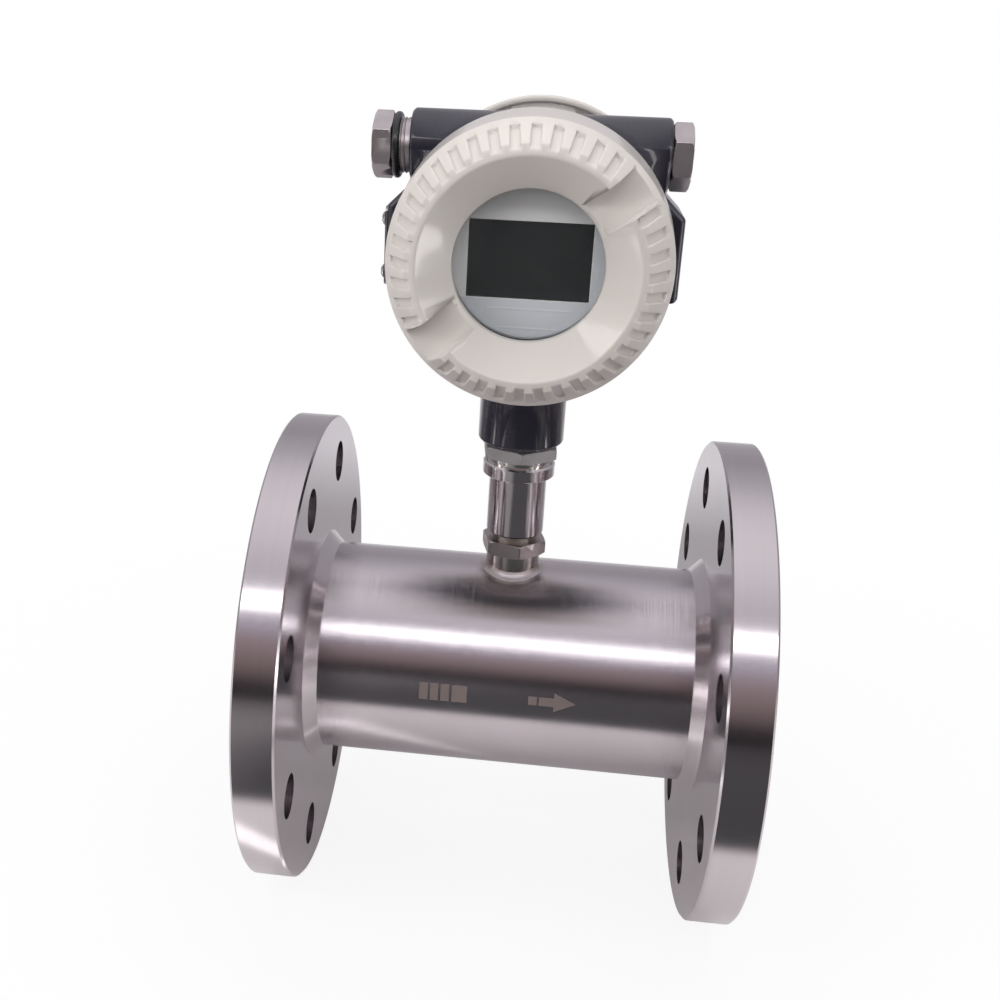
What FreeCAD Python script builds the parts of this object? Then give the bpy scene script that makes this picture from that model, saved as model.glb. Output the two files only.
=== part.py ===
import FreeCAD, Part
import math
import os
import re
import Sketcher

# Turbine flow meter, nominal bore 80, flanged for 16 bar.
# The origin is the centre of the inlet gasket face. +X is the flow direction,
# +Z points up to the indicator head and -Y is the side with the display.

doc = FreeCAD.newDocument("TurbineFlowMeter")
sheet = doc.addObject("Spreadsheet::Sheet", "Sizes")

SIZES = (
    # Pipe body and flanges
    ("face_to_face", 200, "between the two gasket faces"),
    ("pipe_outer", 89, "outside diameter of the pipe"),
    ("pipe_bore", 80, "inside diameter at the flow straighteners"),
    ("meter_bore", 78, "inside diameter round the rotor"),
    ("meter_length", 30, "length of the bore round the rotor"),
    ("flange_outer", 200, "outside diameter of the flange"),
    ("flange_thick", 20, "flange thickness with its raised face"),
    ("raised_outer", 138, "outside diameter of the raised face"),
    ("raised_height", 3, "height of the raised face"),
    ("rim_bevel", 0.8, "bevel on the flange rim"),
    ("bolt_circle", 160, "pitch circle of the bolt holes"),
    ("bolt_hole", 18, "diameter of a bolt hole"),
    ("bolt_count", 8, "bolt holes in each flange"),
    ("hub_rise", 5, "height of the turned fillet beside the flange"),
    ("hub_length", 5, "length of the turned fillet beside the flange"),
    # Flow straighteners, rotor and bearings
    ("slip_gap", 0.05, "radial gap of parts that slide or screw together"),
    ("running_gap", 0.04, "radial gap between shaft and bearing"),
    ("run_out", 1, "how far a cut or hole runs beyond what it frees"),
    ("ring_setback", 5, "from a flange's turned fillet to the straightener"),
    ("vane_count", 6, "vanes in each straightener"),
    ("vane_thick", 2, "thickness of a straightener vane"),
    ("core_setback", 4, "core's nose inside the outer end of the vanes"),
    ("core_outer", 28, "diameter of the straightener core and rotor hub"),
    ("core_gap", 2.1, "gap between core and rotor hub"),
    ("nose_round", 12.5, "rounding of the core's nose"),
    ("ring_thick", 1.8, "thickness of the retaining ring"),
    ("ring_height", 3.4, "radial height of the retaining ring"),
    ("ring_bite", 1.4, "depth to which the ring sits in its groove"),
    ("ring_open", 22, "opening of the retaining ring in degrees"),
    ("rotor_length", 19, "length of the rotor hub"),
    ("blade_count", 8, "helical blades on the rotor"),
    ("blade_length", 17, "axial length of a blade"),
    ("blade_twist", 24, "turn of a blade over its length in degrees"),
    ("blade_root", 2.6, "blade thickness at the hub"),
    ("blade_tip", 1.4, "blade thickness at the tip"),
    ("tip_gap", 0.6, "gap between blade tip and bore"),
    ("shaft_dia", 5, "diameter of the rotor shaft"),
    ("bearing_outer", 10, "outside diameter of a bearing bush"),
    ("bearing_length", 10, "length of a bearing bush"),
    ("thrust_gap", 0.3, "end play between bush and rotor hub"),
    # Pickup, its boss and the neck
    ("boss_outer", 22, "outside diameter of the pickup boss"),
    ("boss_top", 52, "height of the boss above the pipe axis"),
    ("pickup_wall", 2.3, "pipe wall left under the pickup"),
    ("weld_width", 3.6, "width of the weld round the boss"),
    ("weld_height", 3.6, "height of the weld against the boss"),
    ("weld_toe", 0.9, "drop of the weld's toe below the top of the pipe"),
    ("pickup_thread", 16, "thread diameter of the pickup"),
    ("pickup_seat", 0.3, "gap under the tip of the pickup"),
    ("pickup_shell", 1.2, "wall at the tip of the pickup"),
    ("pickup_cavity", 12.4, "inside diameter of the pickup"),
    ("magnet_dia", 6, "diameter of the magnet"),
    ("magnet_length", 9, "length of the magnet"),
    ("coil_length", 14, "length of the coil"),
    ("lock_flats", 24, "width across flats of the lower lock nut"),
    ("lock_thick", 6, "thickness of the lower lock nut"),
    ("lock_turn", -77, "turn of the lower lock nut's corners in degrees"),
    ("nut_chamfer", 1.4, "corner chamfer of the lock nuts and plugs"),
    ("groove_dia", 18, "diameter of the groove above the lower lock nut"),
    ("groove_length", 2.5, "height of that groove"),
    ("spigot_dia", 18.8, "diameter of the pickup's spigot in the sleeve"),
    ("spigot_length", 8, "length of that spigot"),
    ("sleeve_outer", 23.3, "outside diameter of the polished sleeve"),
    ("sleeve_length", 25.5, "length of the sleeve below its collar"),
    ("sleeve_bore", 17, "bore in the middle of the sleeve"),
    ("sleeve_bevel", 0.7, "bevel on the sleeve and its collar"),
    ("collar_outer", 29.2, "outside diameter of the collar"),
    ("collar_length", 5.5, "height of the collar"),
    ("link_thread", 20, "thread diameter of the neck connector"),
    ("link_bore", 12, "bore of the neck connector"),
    ("link_depth", 8, "thread depth of the connector in the sleeve"),
    ("link_reach", 16, "thread length of the connector in the head"),
    ("link_shoulder", 25.6, "diameter of the connector's shoulder"),
    ("shoulder_height", 2.5, "height of that shoulder"),
    ("head_nut_flats", 28.4, "width across flats of the upper lock nut"),
    ("head_nut_thick", 5, "thickness of the upper lock nut"),
    ("head_nut_turn", -84, "turn of the upper lock nut's corners in degrees"),
    # Cast head
    ("stem_outer", 34.4, "outside diameter of the stem under the head"),
    ("stem_length", 83, "from the foot of the stem to the drum axis"),
    ("stem_chamfer", 2.2, "chamfer at the foot of the stem"),
    ("stem_bore", 16, "cable bore through the stem"),
    ("drum_step", 2.5, "height of the drum above its threaded necks"),
    ("drum_half", 36, "half the width of the drum between the covers"),
    ("neck_outer", 90, "diameter of the drum's threaded necks"),
    ("neck_reach", 14, "length of a threaded neck"),
    ("neck_wall", 4, "wall of a threaded neck"),
    ("wall_front", 10, "front of the partition, ahead of the stem axis"),
    ("wall_thick", 4, "thickness of the partition"),
    ("feed_hole", 9, "hole for the lead through the partition"),
    ("feed_drop", 24.5, "height of that hole below the drum axis"),
    ("barrel_outer", 27.8, "outside diameter of the conduit barrel"),
    ("barrel_rise", 32, "barrel axis above the drum axis"),
    ("barrel_half", 48, "half the length of the conduit barrel"),
    ("barrel_bevel", 0.9, "bevel on the barrel's ends"),
    ("entry_thread", 20, "thread diameter of a conduit entry"),
    ("entry_depth", 20, "thread depth of a conduit entry"),
    ("entry_bore", 15, "passage from the entry into the chamber"),
    ("entry_reach", 26, "reach of that passage from the barrel's end"),
    ("recess_dia", 25.2, "recess for the sealing ring at the entry"),
    ("recess_depth", 2.5, "depth of that recess"),
    ("cheek_setback", 1.4, "flat cheeks short of the barrel's right end"),
    ("saddle_left", 36, "reach of the barrel's flat cheeks to the left"),
    ("saddle_top", 35.8, "top of the flat cheeks above the drum axis"),
    ("saddle_width", 28.4, "width over the two flat cheeks"),
    ("pad_proud", 7, "side pads beyond the barrel's ends"),
    ("pad_width", 34, "width of the side pads"),
    ("pad_top", 11.5, "top of the side pads above the drum axis"),
    ("pad_foot", 19.5, "foot of the side pads below the drum axis"),
    ("pad_slope", 19.8, "top of the sloped shoulder above the drum axis"),
    ("pad_round", 2.5, "rounding of the side pads"),
    # Screwed covers and the window
    ("cover_gap", 2, "gap between drum and cover rim"),
    ("thread_gap", 0.1, "radial gap in the thread of a cover"),
    ("soft_gap", 0.3, "gap round the cover's sealing ring"),
    ("rim_wall", 5.2, "wall of a cover round its thread, at the rim"),
    ("skirt_length", 26, "length of the front cover's plain skirt"),
    ("back_skirt", 20, "length of the rear cover's plain skirt"),
    ("skirt_taper", 1.4, "taper of the skirt on its radius"),
    ("shoulder_step", 2, "step from the skirt in to the teeth"),
    ("shoulder_rise", 1.8, "rise of that step"),
    ("tooth_length", 8.2, "length of the slanted toothed band"),
    ("tooth_slant", 5.4, "how far the toothed band slants in"),
    ("tooth_count", 40, "teeth round a cover"),
    ("notch_width", 3.2, "width of the notch between two teeth"),
    ("notch_depth", 1.5, "depth of the notch"),
    ("nose_width", 3.7, "width of the smooth band between teeth and ridge"),
    ("nose_height", 0.9, "rise of that band"),
    ("ridge_flat", 0.6, "width of the ridge's crest"),
    ("dish_depth", 10.9, "depth of the dish inside the ridge"),
    ("window_dia", 51.8, "diameter of the window opening"),
    ("window_lip", 3, "thickness of the lip in front of the glass"),
    ("cover_thread_depth", 14, "depth of the cover's thread"),
    ("thread_step", 5, "step from the cover's thread in to its inside"),
    ("seal_relief", 2.9, "bevel inside the rim for the sealing ring"),
    ("seal_section", 2.2, "section of the cover's sealing ring"),
    ("slot_width", 12.6, "width of the two wrench slots"),
    ("slot_depth", 9.2, "depth of the wrench slots below the ridge"),
    ("slot_start", 27.5, "start of a wrench slot from the axis"),
    ("slot_angle", 39, "slant of the wrench slots in degrees"),
    ("back_wall", 4, "thickness of the rear cover's end"),
    ("glass_ledge", 5.3, "ledge that carries the edge of the glass"),
    ("glass_thick", 5, "thickness of the window glass"),
    ("gasket_thick", 0.8, "thickness of the gasket ahead of the glass"),
    ("gasket_inset", 1.1, "gasket and retainer back from the window's edge"),
    ("retainer_thick", 2.4, "thickness of the threaded ring behind the glass"),
    # Display and electronics
    ("dial_margin", 3, "gap round the dial plate in its chamber"),
    ("dial_thick", 2, "thickness of the dial plate"),
    ("dial_gap", 0.6, "gap between dial plate and glass retainer"),
    ("lcd_width", 42.5, "width of the display"),
    ("lcd_height", 26.6, "height of the display"),
    ("lcd_gap", 0.2, "gap round the display in the dial plate"),
    ("board_thick", 1.6, "thickness of the circuit boards"),
    ("board_margin", 4, "gap round the circuit boards in their chamber"),
    ("post_dia", 5, "diameter of the posts that carry the boards"),
    ("post_margin", 10, "distance of the posts from the chamber's wall"),
    ("post_count", 4, "posts behind each board"),
    ("main_lift", 5, "main board ahead of the partition"),
    ("display_depth", 12, "display board behind the dial plate"),
    ("block_width", 46, "width of the terminal block"),
    ("block_height", 16, "height of the terminal block"),
    ("block_depth", 14, "depth of the terminal block"),
    ("block_rise", 6, "foot of the terminal block below the drum axis"),
    ("wire_hole", 4, "wire entry of a terminal"),
    ("terminal_count", 6, "terminals in the block"),
    ("terminal_pitch", 7.2, "spacing of the terminals"),
    ("terminal_head", 4.4, "diameter of a terminal screw's head"),
    ("terminal_rise", 1, "height of a terminal screw's head"),
    ("lead_dia", 4, "diameter of the pickup's lead"),
    ("lead_bend", 9, "radius of the lead's bend"),
    # Entry plugs, name plate and screws
    ("plug_flats", 22, "width across flats of a plug"),
    ("plug_turn", 0, "turn of a plug's corners in degrees"),
    ("plug_head", 7.2, "thickness of a plug's head"),
    ("plug_thread", 15, "length of a plug's thread"),
    ("plug_relief", 18.7, "diameter of the relief under a plug's head"),
    ("relief_length", 3.6, "length of that relief"),
    ("plug_point", 1.2, "lead-in bevel of a plug"),
    ("seal_ring", 2.9, "section of a plug's sealing ring"),
    ("ring_outer", 24.6, "outside diameter of a plug's sealing ring"),
    ("right_standoff", 0.55, "right plug's head off the barrel"),
    ("left_standoff", 7.2, "left plug's head off the barrel"),
    ("left_ring_gap", 0.2, "left sealing ring off the plug's head"),
    ("plate_width", 31, "width of the name plate"),
    ("plate_height", 29.4, "height of the name plate"),
    ("plate_thick", 0.8, "thickness of the name plate"),
    ("plate_drop", 4, "centre of the plate below the drum axis"),
    ("plate_corner", 2, "corner radius of the name plate"),
    ("screw_across", 24, "spacing of the plate screws along the pipe's side"),
    ("screw_up", 20, "spacing of the plate screws up the plate"),
    ("screw_head", 5.2, "diameter of a plate screw's head"),
    ("screw_rise", 1.7, "height of a plate screw's head"),
    ("screw_shank", 2.6, "diameter of a plate screw's shank"),
    ("screw_depth", 4.5, "depth of a plate screw in the pad"),
    ("screw_play", 0.1, "radial gap of the plate screws in their holes"),
)

values = {}
for line, (alias, value, note) in enumerate(SIZES, start=1):
    sheet.set("A%d" % line, note)
    sheet.set("B%d" % line, str(value))
    sheet.setAlias("B%d" % line, alias)
    values[alias] = value

# Heights and stations that follow from the sizes above
DERIVED = {
    "middle": "face_to_face / 2",
    "hub_end": "flange_thick + hub_length",
    "tube_end": "face_to_face - hub_end",
    "seat_near": "middle - meter_length / 2",
    "seat_far": "middle + meter_length / 2",
    "ring_near": "hub_end + ring_setback",
    "ring_far": "tube_end - ring_setback",
    "guide_length": "seat_near - ring_near",
    "core_end": "middle - rotor_length / 2 - core_gap",
    "core_reach": "core_end - seat_near",
    "bearing_reach": "core_gap - thrust_gap",
    "pickup_floor": "meter_bore / 2 + pickup_wall",
    "pickup_tip": "pickup_floor + pickup_seat",
    "coil_foot": "pickup_tip + pickup_shell",
    "lock_top": "boss_top + lock_thick",
    "sleeve_foot": "lock_top + groove_length",
    "collar_foot": "sleeve_foot + sleeve_length",
    "collar_top": "collar_foot + collar_length",
    "nut_foot": "collar_top + shoulder_height",
    "stem_foot": "nut_foot + head_nut_thick + slip_gap",
    "drum_axis": "stem_foot + stem_length",
    "barrel_axis": "drum_axis + barrel_rise",
    "neck_end": "drum_half + neck_reach",
    "drum_radius": "neck_outer / 2 + drum_step",
    "chamber_radius": "neck_outer / 2 - neck_wall",
    "saddle_half": "barrel_half - cheek_setback",
    "pad_half": "barrel_half + pad_proud",
    "rim_radius": "neck_outer / 2 + rim_wall",
    "skirt_radius": "rim_radius - skirt_taper",
    "root_radius": "skirt_radius - shoulder_step",
    "tip_radius": "root_radius - tooth_slant",
    "ridge_radius": "tip_radius - nose_width",
    "inner_radius": "neck_outer / 2 - thread_step",
    "glass_radius": "window_dia / 2 + glass_ledge",
    "gasket_radius": "window_dia / 2 + gasket_inset",
    "dial_radius": "chamber_radius - dial_margin",
    "board_radius": "chamber_radius - board_margin",
    "post_radius": "chamber_radius - post_margin",
    "rim_plane": "drum_half + cover_gap",
    "front_skirt": "rim_plane + skirt_length",
    "ridge_lift": "shoulder_rise + tooth_length + nose_height",
    "lip_front": "front_skirt + ridge_lift - dish_depth",
    "glass_seat": "lip_front - window_lip",
    "glass_front": "glass_seat - gasket_thick",
    "glass_back": "glass_front - glass_thick",
    "retainer_back": "glass_back - retainer_thick",
    "thread_end": "rim_plane + cover_thread_depth",
    "rear_skirt": "rim_plane + back_skirt",
    "rear_lip": "rear_skirt + ridge_lift - dish_depth",
    "dial_front": "retainer_back - dial_gap",
    "dial_back": "dial_front - dial_thick",
    "display_face": "dial_back - display_depth + board_thick",
    "main_back": "wall_front + main_lift",
    "main_face": "main_back + board_thick",
}


def bound(formula):
    """Write a formula on size names as an expression on the sheet's cells."""
    def spell(match):
        word = match.group(0)
        if word in DERIVED:
            return "(" + bound(DERIVED[word]) + ")"
        if word in values:
            return "Sizes." + word
        return word
    return re.sub(r"[a-z][a-z_]+", spell, str(formula))


def origin_part(body, role):
    return [item for item in body.Origin.OriginFeatures if item.Role == role][0]


def add_sketch(body, name, plane):
    sketch = body.newObject("Sketcher::SketchObject", name)
    sketch.AttachmentSupport = [(origin_part(body, plane), "")]
    sketch.MapMode = "FlatFace"
    return sketch


def bind_datums(sketch, datums):
    """Add dimensional constraints and tie each to its formula."""
    for kind, places, start, formula in datums:
        index = sketch.addConstraint(Sketcher.Constraint(kind, *places, start))
        sketch.setExpression("Constraints[%d]" % index, bound(formula))


def add_outline(sketch, corners):
    """Draw a closed outline whose corners are pairs of formulas."""
    first = sketch.GeometryCount
    count = len(corners)
    spots = []
    for number in range(count):
        turn = 2 * math.pi * number / count
        spots.append(FreeCAD.Vector(20 + 9 * math.cos(turn), 20 + 9 * math.sin(turn), 0))
    for number in range(count):
        sketch.addGeometry(Part.LineSegment(spots[number], spots[(number + 1) % count]), False)
    joins = []
    for number in range(count):
        follower = first + (number + 1) % count
        joins.append(Sketcher.Constraint("Coincident", first + number, 2, follower, 1))
    sketch.addConstraint(joins)
    datums = []
    for number, (across, up) in enumerate(corners):
        place = (first + number, 1)
        datums.append(("DistanceX", place, spots[number].x, across))
        datums.append(("DistanceY", place, spots[number].y, up))
    bind_datums(sketch, datums)


def add_circle(sketch, across, up, radius):
    first = sketch.GeometryCount
    centre = FreeCAD.Vector(5, 5, 0)
    sketch.addGeometry(Part.Circle(centre, FreeCAD.Vector(0, 0, 1), 2), False)
    bind_datums(sketch, [
        ("DistanceX", (first, 3), 5, across),
        ("DistanceY", (first, 3), 5, up),
        ("Radius", (first,), 2, radius),
    ])


def add_turn(body, name, corners, angle=360):
    """Turn an outline of (radius, height) corners about the body's own Z axis."""
    sketch = add_sketch(body, name + "_outline", "XZ_Plane")
    add_outline(sketch, corners)
    turn = body.newObject("PartDesign::Revolution", name + "_turned")
    turn.Profile = sketch
    turn.ReferenceAxis = (sketch, ["V_Axis"])
    turn.Angle = angle
    return turn


def turned(label, corners, angle=360):
    body = doc.addObject("PartDesign::Body", label)
    add_turn(body, label, corners, angle)
    return body


def ring_corners(inner, outer, low, high):
    return [(inner, low), (outer, low), (outer, high), (inner, high)]


def cut_pocket(body, name, draw, low, high):
    """Cut what draw() sketches across the Z axis, from height low to height high."""
    sketch = add_sketch(body, name + "_outline", "XY_Plane")
    sketch.setExpression("AttachmentOffset.Base.z", bound(high))
    draw(sketch)
    pocket = body.newObject("PartDesign::Pocket", name)
    pocket.Profile = sketch
    pocket.Type = "Length"
    pocket.setExpression("Length", bound("(%s) - (%s)" % (high, low)))
    return pocket


def repeat_round(body, feature, count):
    pattern = body.newObject("PartDesign::PolarPattern", feature.Name + "_round")
    pattern.Originals = [feature]
    pattern.Axis = (origin_part(body, "Z_Axis"), [""])
    pattern.Angle = 360
    pattern.setExpression("Occurrences", bound(count))
    body.Tip = pattern
    return pattern


def round_edges(body, base, size, pick):
    """Fillet the edges of the last feature that pick() accepts."""
    doc.recompute()
    names = []
    for number, edge in enumerate(base.Shape.Edges, start=1):
        if pick(edge):
            names.append("Edge%d" % number)
    fillet = body.newObject("PartDesign::Fillet", base.Name + "_rounded")
    fillet.Base = (base, names)
    fillet.setExpression("Radius", bound(size))
    return fillet


def place(item, x="0", y="0", z="0", axis=(0, 0, 1), angle=0):
    turn = FreeCAD.Rotation(FreeCAD.Vector(*axis), angle)
    item.Placement = FreeCAD.Placement(FreeCAD.Vector(0, 0, 0), turn)
    for letter, formula in (("x", x), ("y", y), ("z", z)):
        item.setExpression("Placement.Base." + letter, bound(formula))
    return item


def along_pipe(item, x="0", forward=True):
    return place(item, x=x, axis=(0, 1, 0), angle=90 if forward else -90)


def on_neck(item, z="0"):
    return place(item, x="middle", z=z)


def on_drum(item, front=True):
    return place(item, x="middle", z="drum_axis", axis=(1, 0, 0), angle=90 if front else -90)


def on_barrel(item, right=True):
    return place(item, x="middle", z="barrel_axis", axis=(0, 1, 0), angle=90 if right else -90)


def joined(label, parts):
    fuse = doc.addObject("Part::MultiFuse", label)
    fuse.Shapes = parts
    return fuse


def cut_away(label, base, tool):
    cut = doc.addObject("Part::Cut", label)
    cut.Base = base
    cut.Tool = tool
    return cut


def rod(label, radius, length):
    cylinder = doc.addObject("Part::Cylinder", label)
    cylinder.setExpression("Radius", bound(radius))
    cylinder.setExpression("Height", bound(length))
    return cylinder


def block(label, length, width, height):
    box = doc.addObject("Part::Box", label)
    box.setExpression("Length", bound(length))
    box.setExpression("Width", bound(width))
    box.setExpression("Height", bound(height))
    return box


parts = {}


# Inlet and outlet flange: turned discs with a raised gasket face, a beveled rim
# and a conical fillet down to the pipe. The bolt holes straddle the centre line.
def first_hole(sketch):
    half_pitch = "180 deg / bolt_count"
    across = "bolt_circle / 2 * cos(%s)" % half_pitch
    up = "bolt_circle / 2 * sin(%s)" % half_pitch
    add_circle(sketch, across, up, "bolt_hole / 2")


def flange(label):
    body = turned(label, [
        ("pipe_bore / 2", "0"),
        ("raised_outer / 2", "0"),
        ("raised_outer / 2", "raised_height"),
        ("flange_outer / 2 - rim_bevel", "raised_height"),
        ("flange_outer / 2", "raised_height + rim_bevel"),
        ("flange_outer / 2", "flange_thick - rim_bevel"),
        ("flange_outer / 2 - rim_bevel", "flange_thick"),
        ("pipe_outer / 2 + hub_rise", "flange_thick"),
        ("pipe_outer / 2", "hub_end"),
        ("pipe_bore / 2", "hub_end"),
    ])
    hole = cut_pocket(body, label + "_hole", first_hole, "0", "flange_thick")
    repeat_round(body, hole, "bolt_count")
    return body


parts["inlet_flange"] = along_pipe(flange("inlet_flange"))
parts["outlet_flange"] = along_pipe(flange("outlet_flange"), "face_to_face", forward=False)

# Pipe body: bored from both ends up to the shoulders beside the rotor, with a
# groove for each retaining ring and a blind pocket for the pickup on top.
groove_root = "pipe_bore / 2 + ring_bite + slip_gap"
groove_near = "ring_near - ring_thick - 2 * slip_gap"
groove_far = "ring_far + ring_thick + 2 * slip_gap"
tube_blank = along_pipe(turned("tube_blank", [
    ("pipe_outer / 2", "hub_end"),
    ("pipe_outer / 2", "tube_end"),
    ("pipe_bore / 2", "tube_end"),
    ("pipe_bore / 2", groove_far),
    (groove_root, groove_far),
    (groove_root, "ring_far"),
    ("pipe_bore / 2", "ring_far"),
    ("pipe_bore / 2", "seat_far"),
    ("meter_bore / 2", "seat_far"),
    ("meter_bore / 2", "seat_near"),
    ("pipe_bore / 2", "seat_near"),
    ("pipe_bore / 2", "ring_near"),
    (groove_root, "ring_near"),
    (groove_root, groove_near),
    ("pipe_bore / 2", groove_near),
    ("pipe_bore / 2", "hub_end"),
]))
pickup_hole = on_neck(rod("pickup_hole", "pickup_thread / 2 + slip_gap", "boss_top"), "pickup_floor")
parts["body_tube"] = cut_away("body_tube", tube_blank, pickup_hole)

# Pickup boss: a turned spigot whose foot is saddled onto the pipe.
pipe_solid = along_pipe(rod("pipe_solid", "pipe_outer / 2", "face_to_face"))
boss_blank = on_neck(turned("boss_blank", ring_corners(
    "pickup_thread / 2 + slip_gap", "boss_outer / 2", "pickup_floor", "boss_top")))
parts["sensor_boss"] = cut_away("sensor_boss", boss_blank, pipe_solid)

# Fillet weld round the foot of the boss.
pipe_solid_too = along_pipe(rod("pipe_solid_too", "pipe_outer / 2", "face_to_face"))
weld_blank = on_neck(turned("weld_blank", [
    ("boss_outer / 2", "pickup_floor"),
    ("boss_outer / 2 + weld_width", "pickup_floor"),
    ("boss_outer / 2 + weld_width", "pipe_outer / 2 - weld_toe"),
    ("boss_outer / 2 + weld_width / 2", "pipe_outer / 2 + weld_height / 3"),
    ("boss_outer / 2", "pipe_outer / 2 + weld_height"),
]))
parts["boss_weld_bead"] = cut_away("boss_weld_bead", weld_blank, pipe_solid_too)


# Flow straightener: a bullet-nosed core carried by radial vanes that fit the bore.
# Its own Z axis starts at the shoulder in the bore and points away from the rotor.
def straightener(label):
    core = "core_outer / 2"
    seat = "bearing_outer / 2 + slip_gap"
    pocket_end = "bearing_length - bearing_reach - core_reach + 2 * run_out"
    body = turned(label, [
        (seat, "-core_reach"),
        (core, "-core_reach"),
        (core, "guide_length - core_setback"),
        ("0", "guide_length - core_setback"),
        ("0", pocket_end),
        (seat, pocket_end),
    ])
    base = body.Tip

    def at_nose(edge):
        circle = isinstance(edge.Curve, Part.Circle)
        return circle and edge.BoundBox.ZMin > values["bearing_length"] + values["nose_round"]
    round_edges(body, base, "nose_round", at_nose)
    sketch = add_sketch(body, label + "_vane_outline", "XZ_Plane")
    root = "core_outer / 2 - vane_thick"
    add_outline(sketch, [
        (root, "vane_thick"),
        ("pipe_bore / 2 - slip_gap", "0"),
        ("pipe_bore / 2 - slip_gap", "guide_length"),
        (root, "guide_length - core_setback - nose_round"),
    ])
    vane = body.newObject("PartDesign::Pad", label + "_vane")
    vane.Profile = sketch
    vane.Midplane = True
    vane.setExpression("Length", bound("vane_thick"))
    repeat_round(body, vane, "vane_count")
    return body


parts["inlet_straightener"] = along_pipe(straightener("inlet_straightener"), "seat_near", forward=False)
parts["outlet_straightener"] = along_pipe(straightener("outlet_straightener"), "seat_far")


# Retaining ring: an open spring ring that snaps into its groove in the bore.
def retaining_ring(label):
    outer = "pipe_bore / 2 + ring_bite"
    return turned(label, ring_corners(
        outer + " - ring_height", outer, "slip_gap", "slip_gap + ring_thick"),
        360 - values["ring_open"])


parts["inlet_retaining_ring"] = along_pipe(
    retaining_ring("inlet_retaining_ring"), "ring_near", forward=False)
parts["outlet_retaining_ring"] = along_pipe(retaining_ring("outlet_retaining_ring"), "ring_far")


# Bearing bush in the end of each core. Its rim is the thrust face for the rotor.
def bearing(label):
    return turned(label, ring_corners(
        "shaft_dia / 2 + running_gap", "bearing_outer / 2",
        "-bearing_reach", "bearing_length - bearing_reach"))


parts["inlet_bearing"] = along_pipe(bearing("inlet_bearing"), "core_end", forward=False)
parts["outlet_bearing"] = along_pipe(bearing("outlet_bearing"), "face_to_face - core_end")

# Rotor shaft: ground pin, pressed into the rotor and running in both bushes.
shaft_end = "middle - core_end + bearing_length - bearing_reach - run_out"
parts["rotor_shaft"] = along_pipe(turned("rotor_shaft", [
    ("0", "-(%s)" % shaft_end),
    ("shaft_dia / 2 - slip_gap * 6", "-(%s)" % shaft_end),
    ("shaft_dia / 2", "-(%s) + slip_gap * 6" % shaft_end),
    ("shaft_dia / 2", shaft_end + " - slip_gap * 6"),
    ("shaft_dia / 2 - slip_gap * 6", shaft_end),
    ("0", shaft_end),
]), "middle")

# Turbine rotor: a hub with helical blades, each lofted through sections that
# turn steadily along the axis and thin out from root to tip.
rotor = turned("turbine_rotor", ring_corners(
    "shaft_dia / 2", "core_outer / 2", "-rotor_length / 2", "rotor_length / 2"))
blade_sections = []
section_total = 4
for number in range(section_total):
    share = number / (section_total - 1) - 0.5
    section = add_sketch(rotor, "blade_section_%d" % number, "XY_Plane")
    section.AttachmentOffset = FreeCAD.Placement(
        FreeCAD.Vector(0, 0, 0), FreeCAD.Rotation(FreeCAD.Vector(0, 0, 1), 1))
    section.setExpression("AttachmentOffset.Base.z", bound("blade_length * %.6f" % share))
    section.setExpression("AttachmentOffset.Rotation.Angle", bound("blade_twist * %.6f" % share))
    root = "core_outer / 2 - blade_root / 2"
    tip = "meter_bore / 2 - tip_gap"
    add_outline(section, [
        (root, "-blade_root / 2"),
        (tip, "-blade_tip / 2"),
        (tip, "blade_tip / 2"),
        (root, "blade_root / 2"),
    ])
    blade_sections.append(section)
blade = rotor.newObject("PartDesign::AdditiveLoft", "blade")
blade.Profile = blade_sections[0]
blade.Sections = blade_sections[1:]
repeat_round(rotor, blade, "blade_count")
parts["turbine_rotor"] = along_pipe(rotor, "middle")

# Pickup: a threaded shell with its tip just above the bore wall, holding a
# magnet inside a wound coil.
parts["pickup_body"] = on_neck(turned("pickup_body", [
    ("0", "pickup_tip"),
    ("pickup_thread / 2", "pickup_tip"),
    ("pickup_thread / 2", "lock_top"),
    ("groove_dia / 2", "lock_top"),
    ("groove_dia / 2", "sleeve_foot"),
    ("spigot_dia / 2", "sleeve_foot"),
    ("spigot_dia / 2", "sleeve_foot + spigot_length"),
    ("pickup_cavity / 2", "sleeve_foot + spigot_length"),
    ("pickup_cavity / 2", "coil_foot"),
    ("0", "coil_foot"),
]))
parts["pickup_magnet"] = on_neck(turned("pickup_magnet", ring_corners(
    "0", "magnet_dia / 2", "coil_foot", "coil_foot + magnet_length")))
parts["pickup_coil"] = on_neck(turned("pickup_coil", ring_corners(
    "magnet_dia / 2 + slip_gap", "pickup_cavity / 2 - slip_gap",
    "coil_foot", "coil_foot + coil_length")))


# Hexagon with chamfered corners round a bore, its foot at height low.
def around_hexagon(flats, turn):
    def draw(sketch):
        corners = []
        for number in range(6):
            angle = "((%s + %d) * 1 deg)" % (turn, 60 * number)
            corners.append((
                "(%s) * cos%s / sqrt(3)" % (flats, angle),
                "(%s) * sin%s / sqrt(3)" % (flats, angle)))
        add_outline(sketch, corners)
        add_circle(sketch, "0", "0", flats)
    return draw


def hexagon(label, flats, bore, low, high, turn):
    corner = "(%s) / sqrt(3)" % flats
    body = turned(label, [
        (bore, low),
        (corner + " - nut_chamfer", low),
        (corner, "(%s) + nut_chamfer / 2" % low),
        (corner, "(%s) - nut_chamfer / 2" % high),
        (corner + " - nut_chamfer", high),
        (bore, high),
    ])
    cut_pocket(body, label + "_flats", around_hexagon(flats, turn), low, high)
    return body


# Lock nut that holds the pickup in its boss.
parts["pickup_lock_nut"] = on_neck(hexagon(
    "pickup_lock_nut", "lock_flats", "pickup_thread / 2 + slip_gap", "boss_top", "lock_top",
    "lock_turn"))

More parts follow.
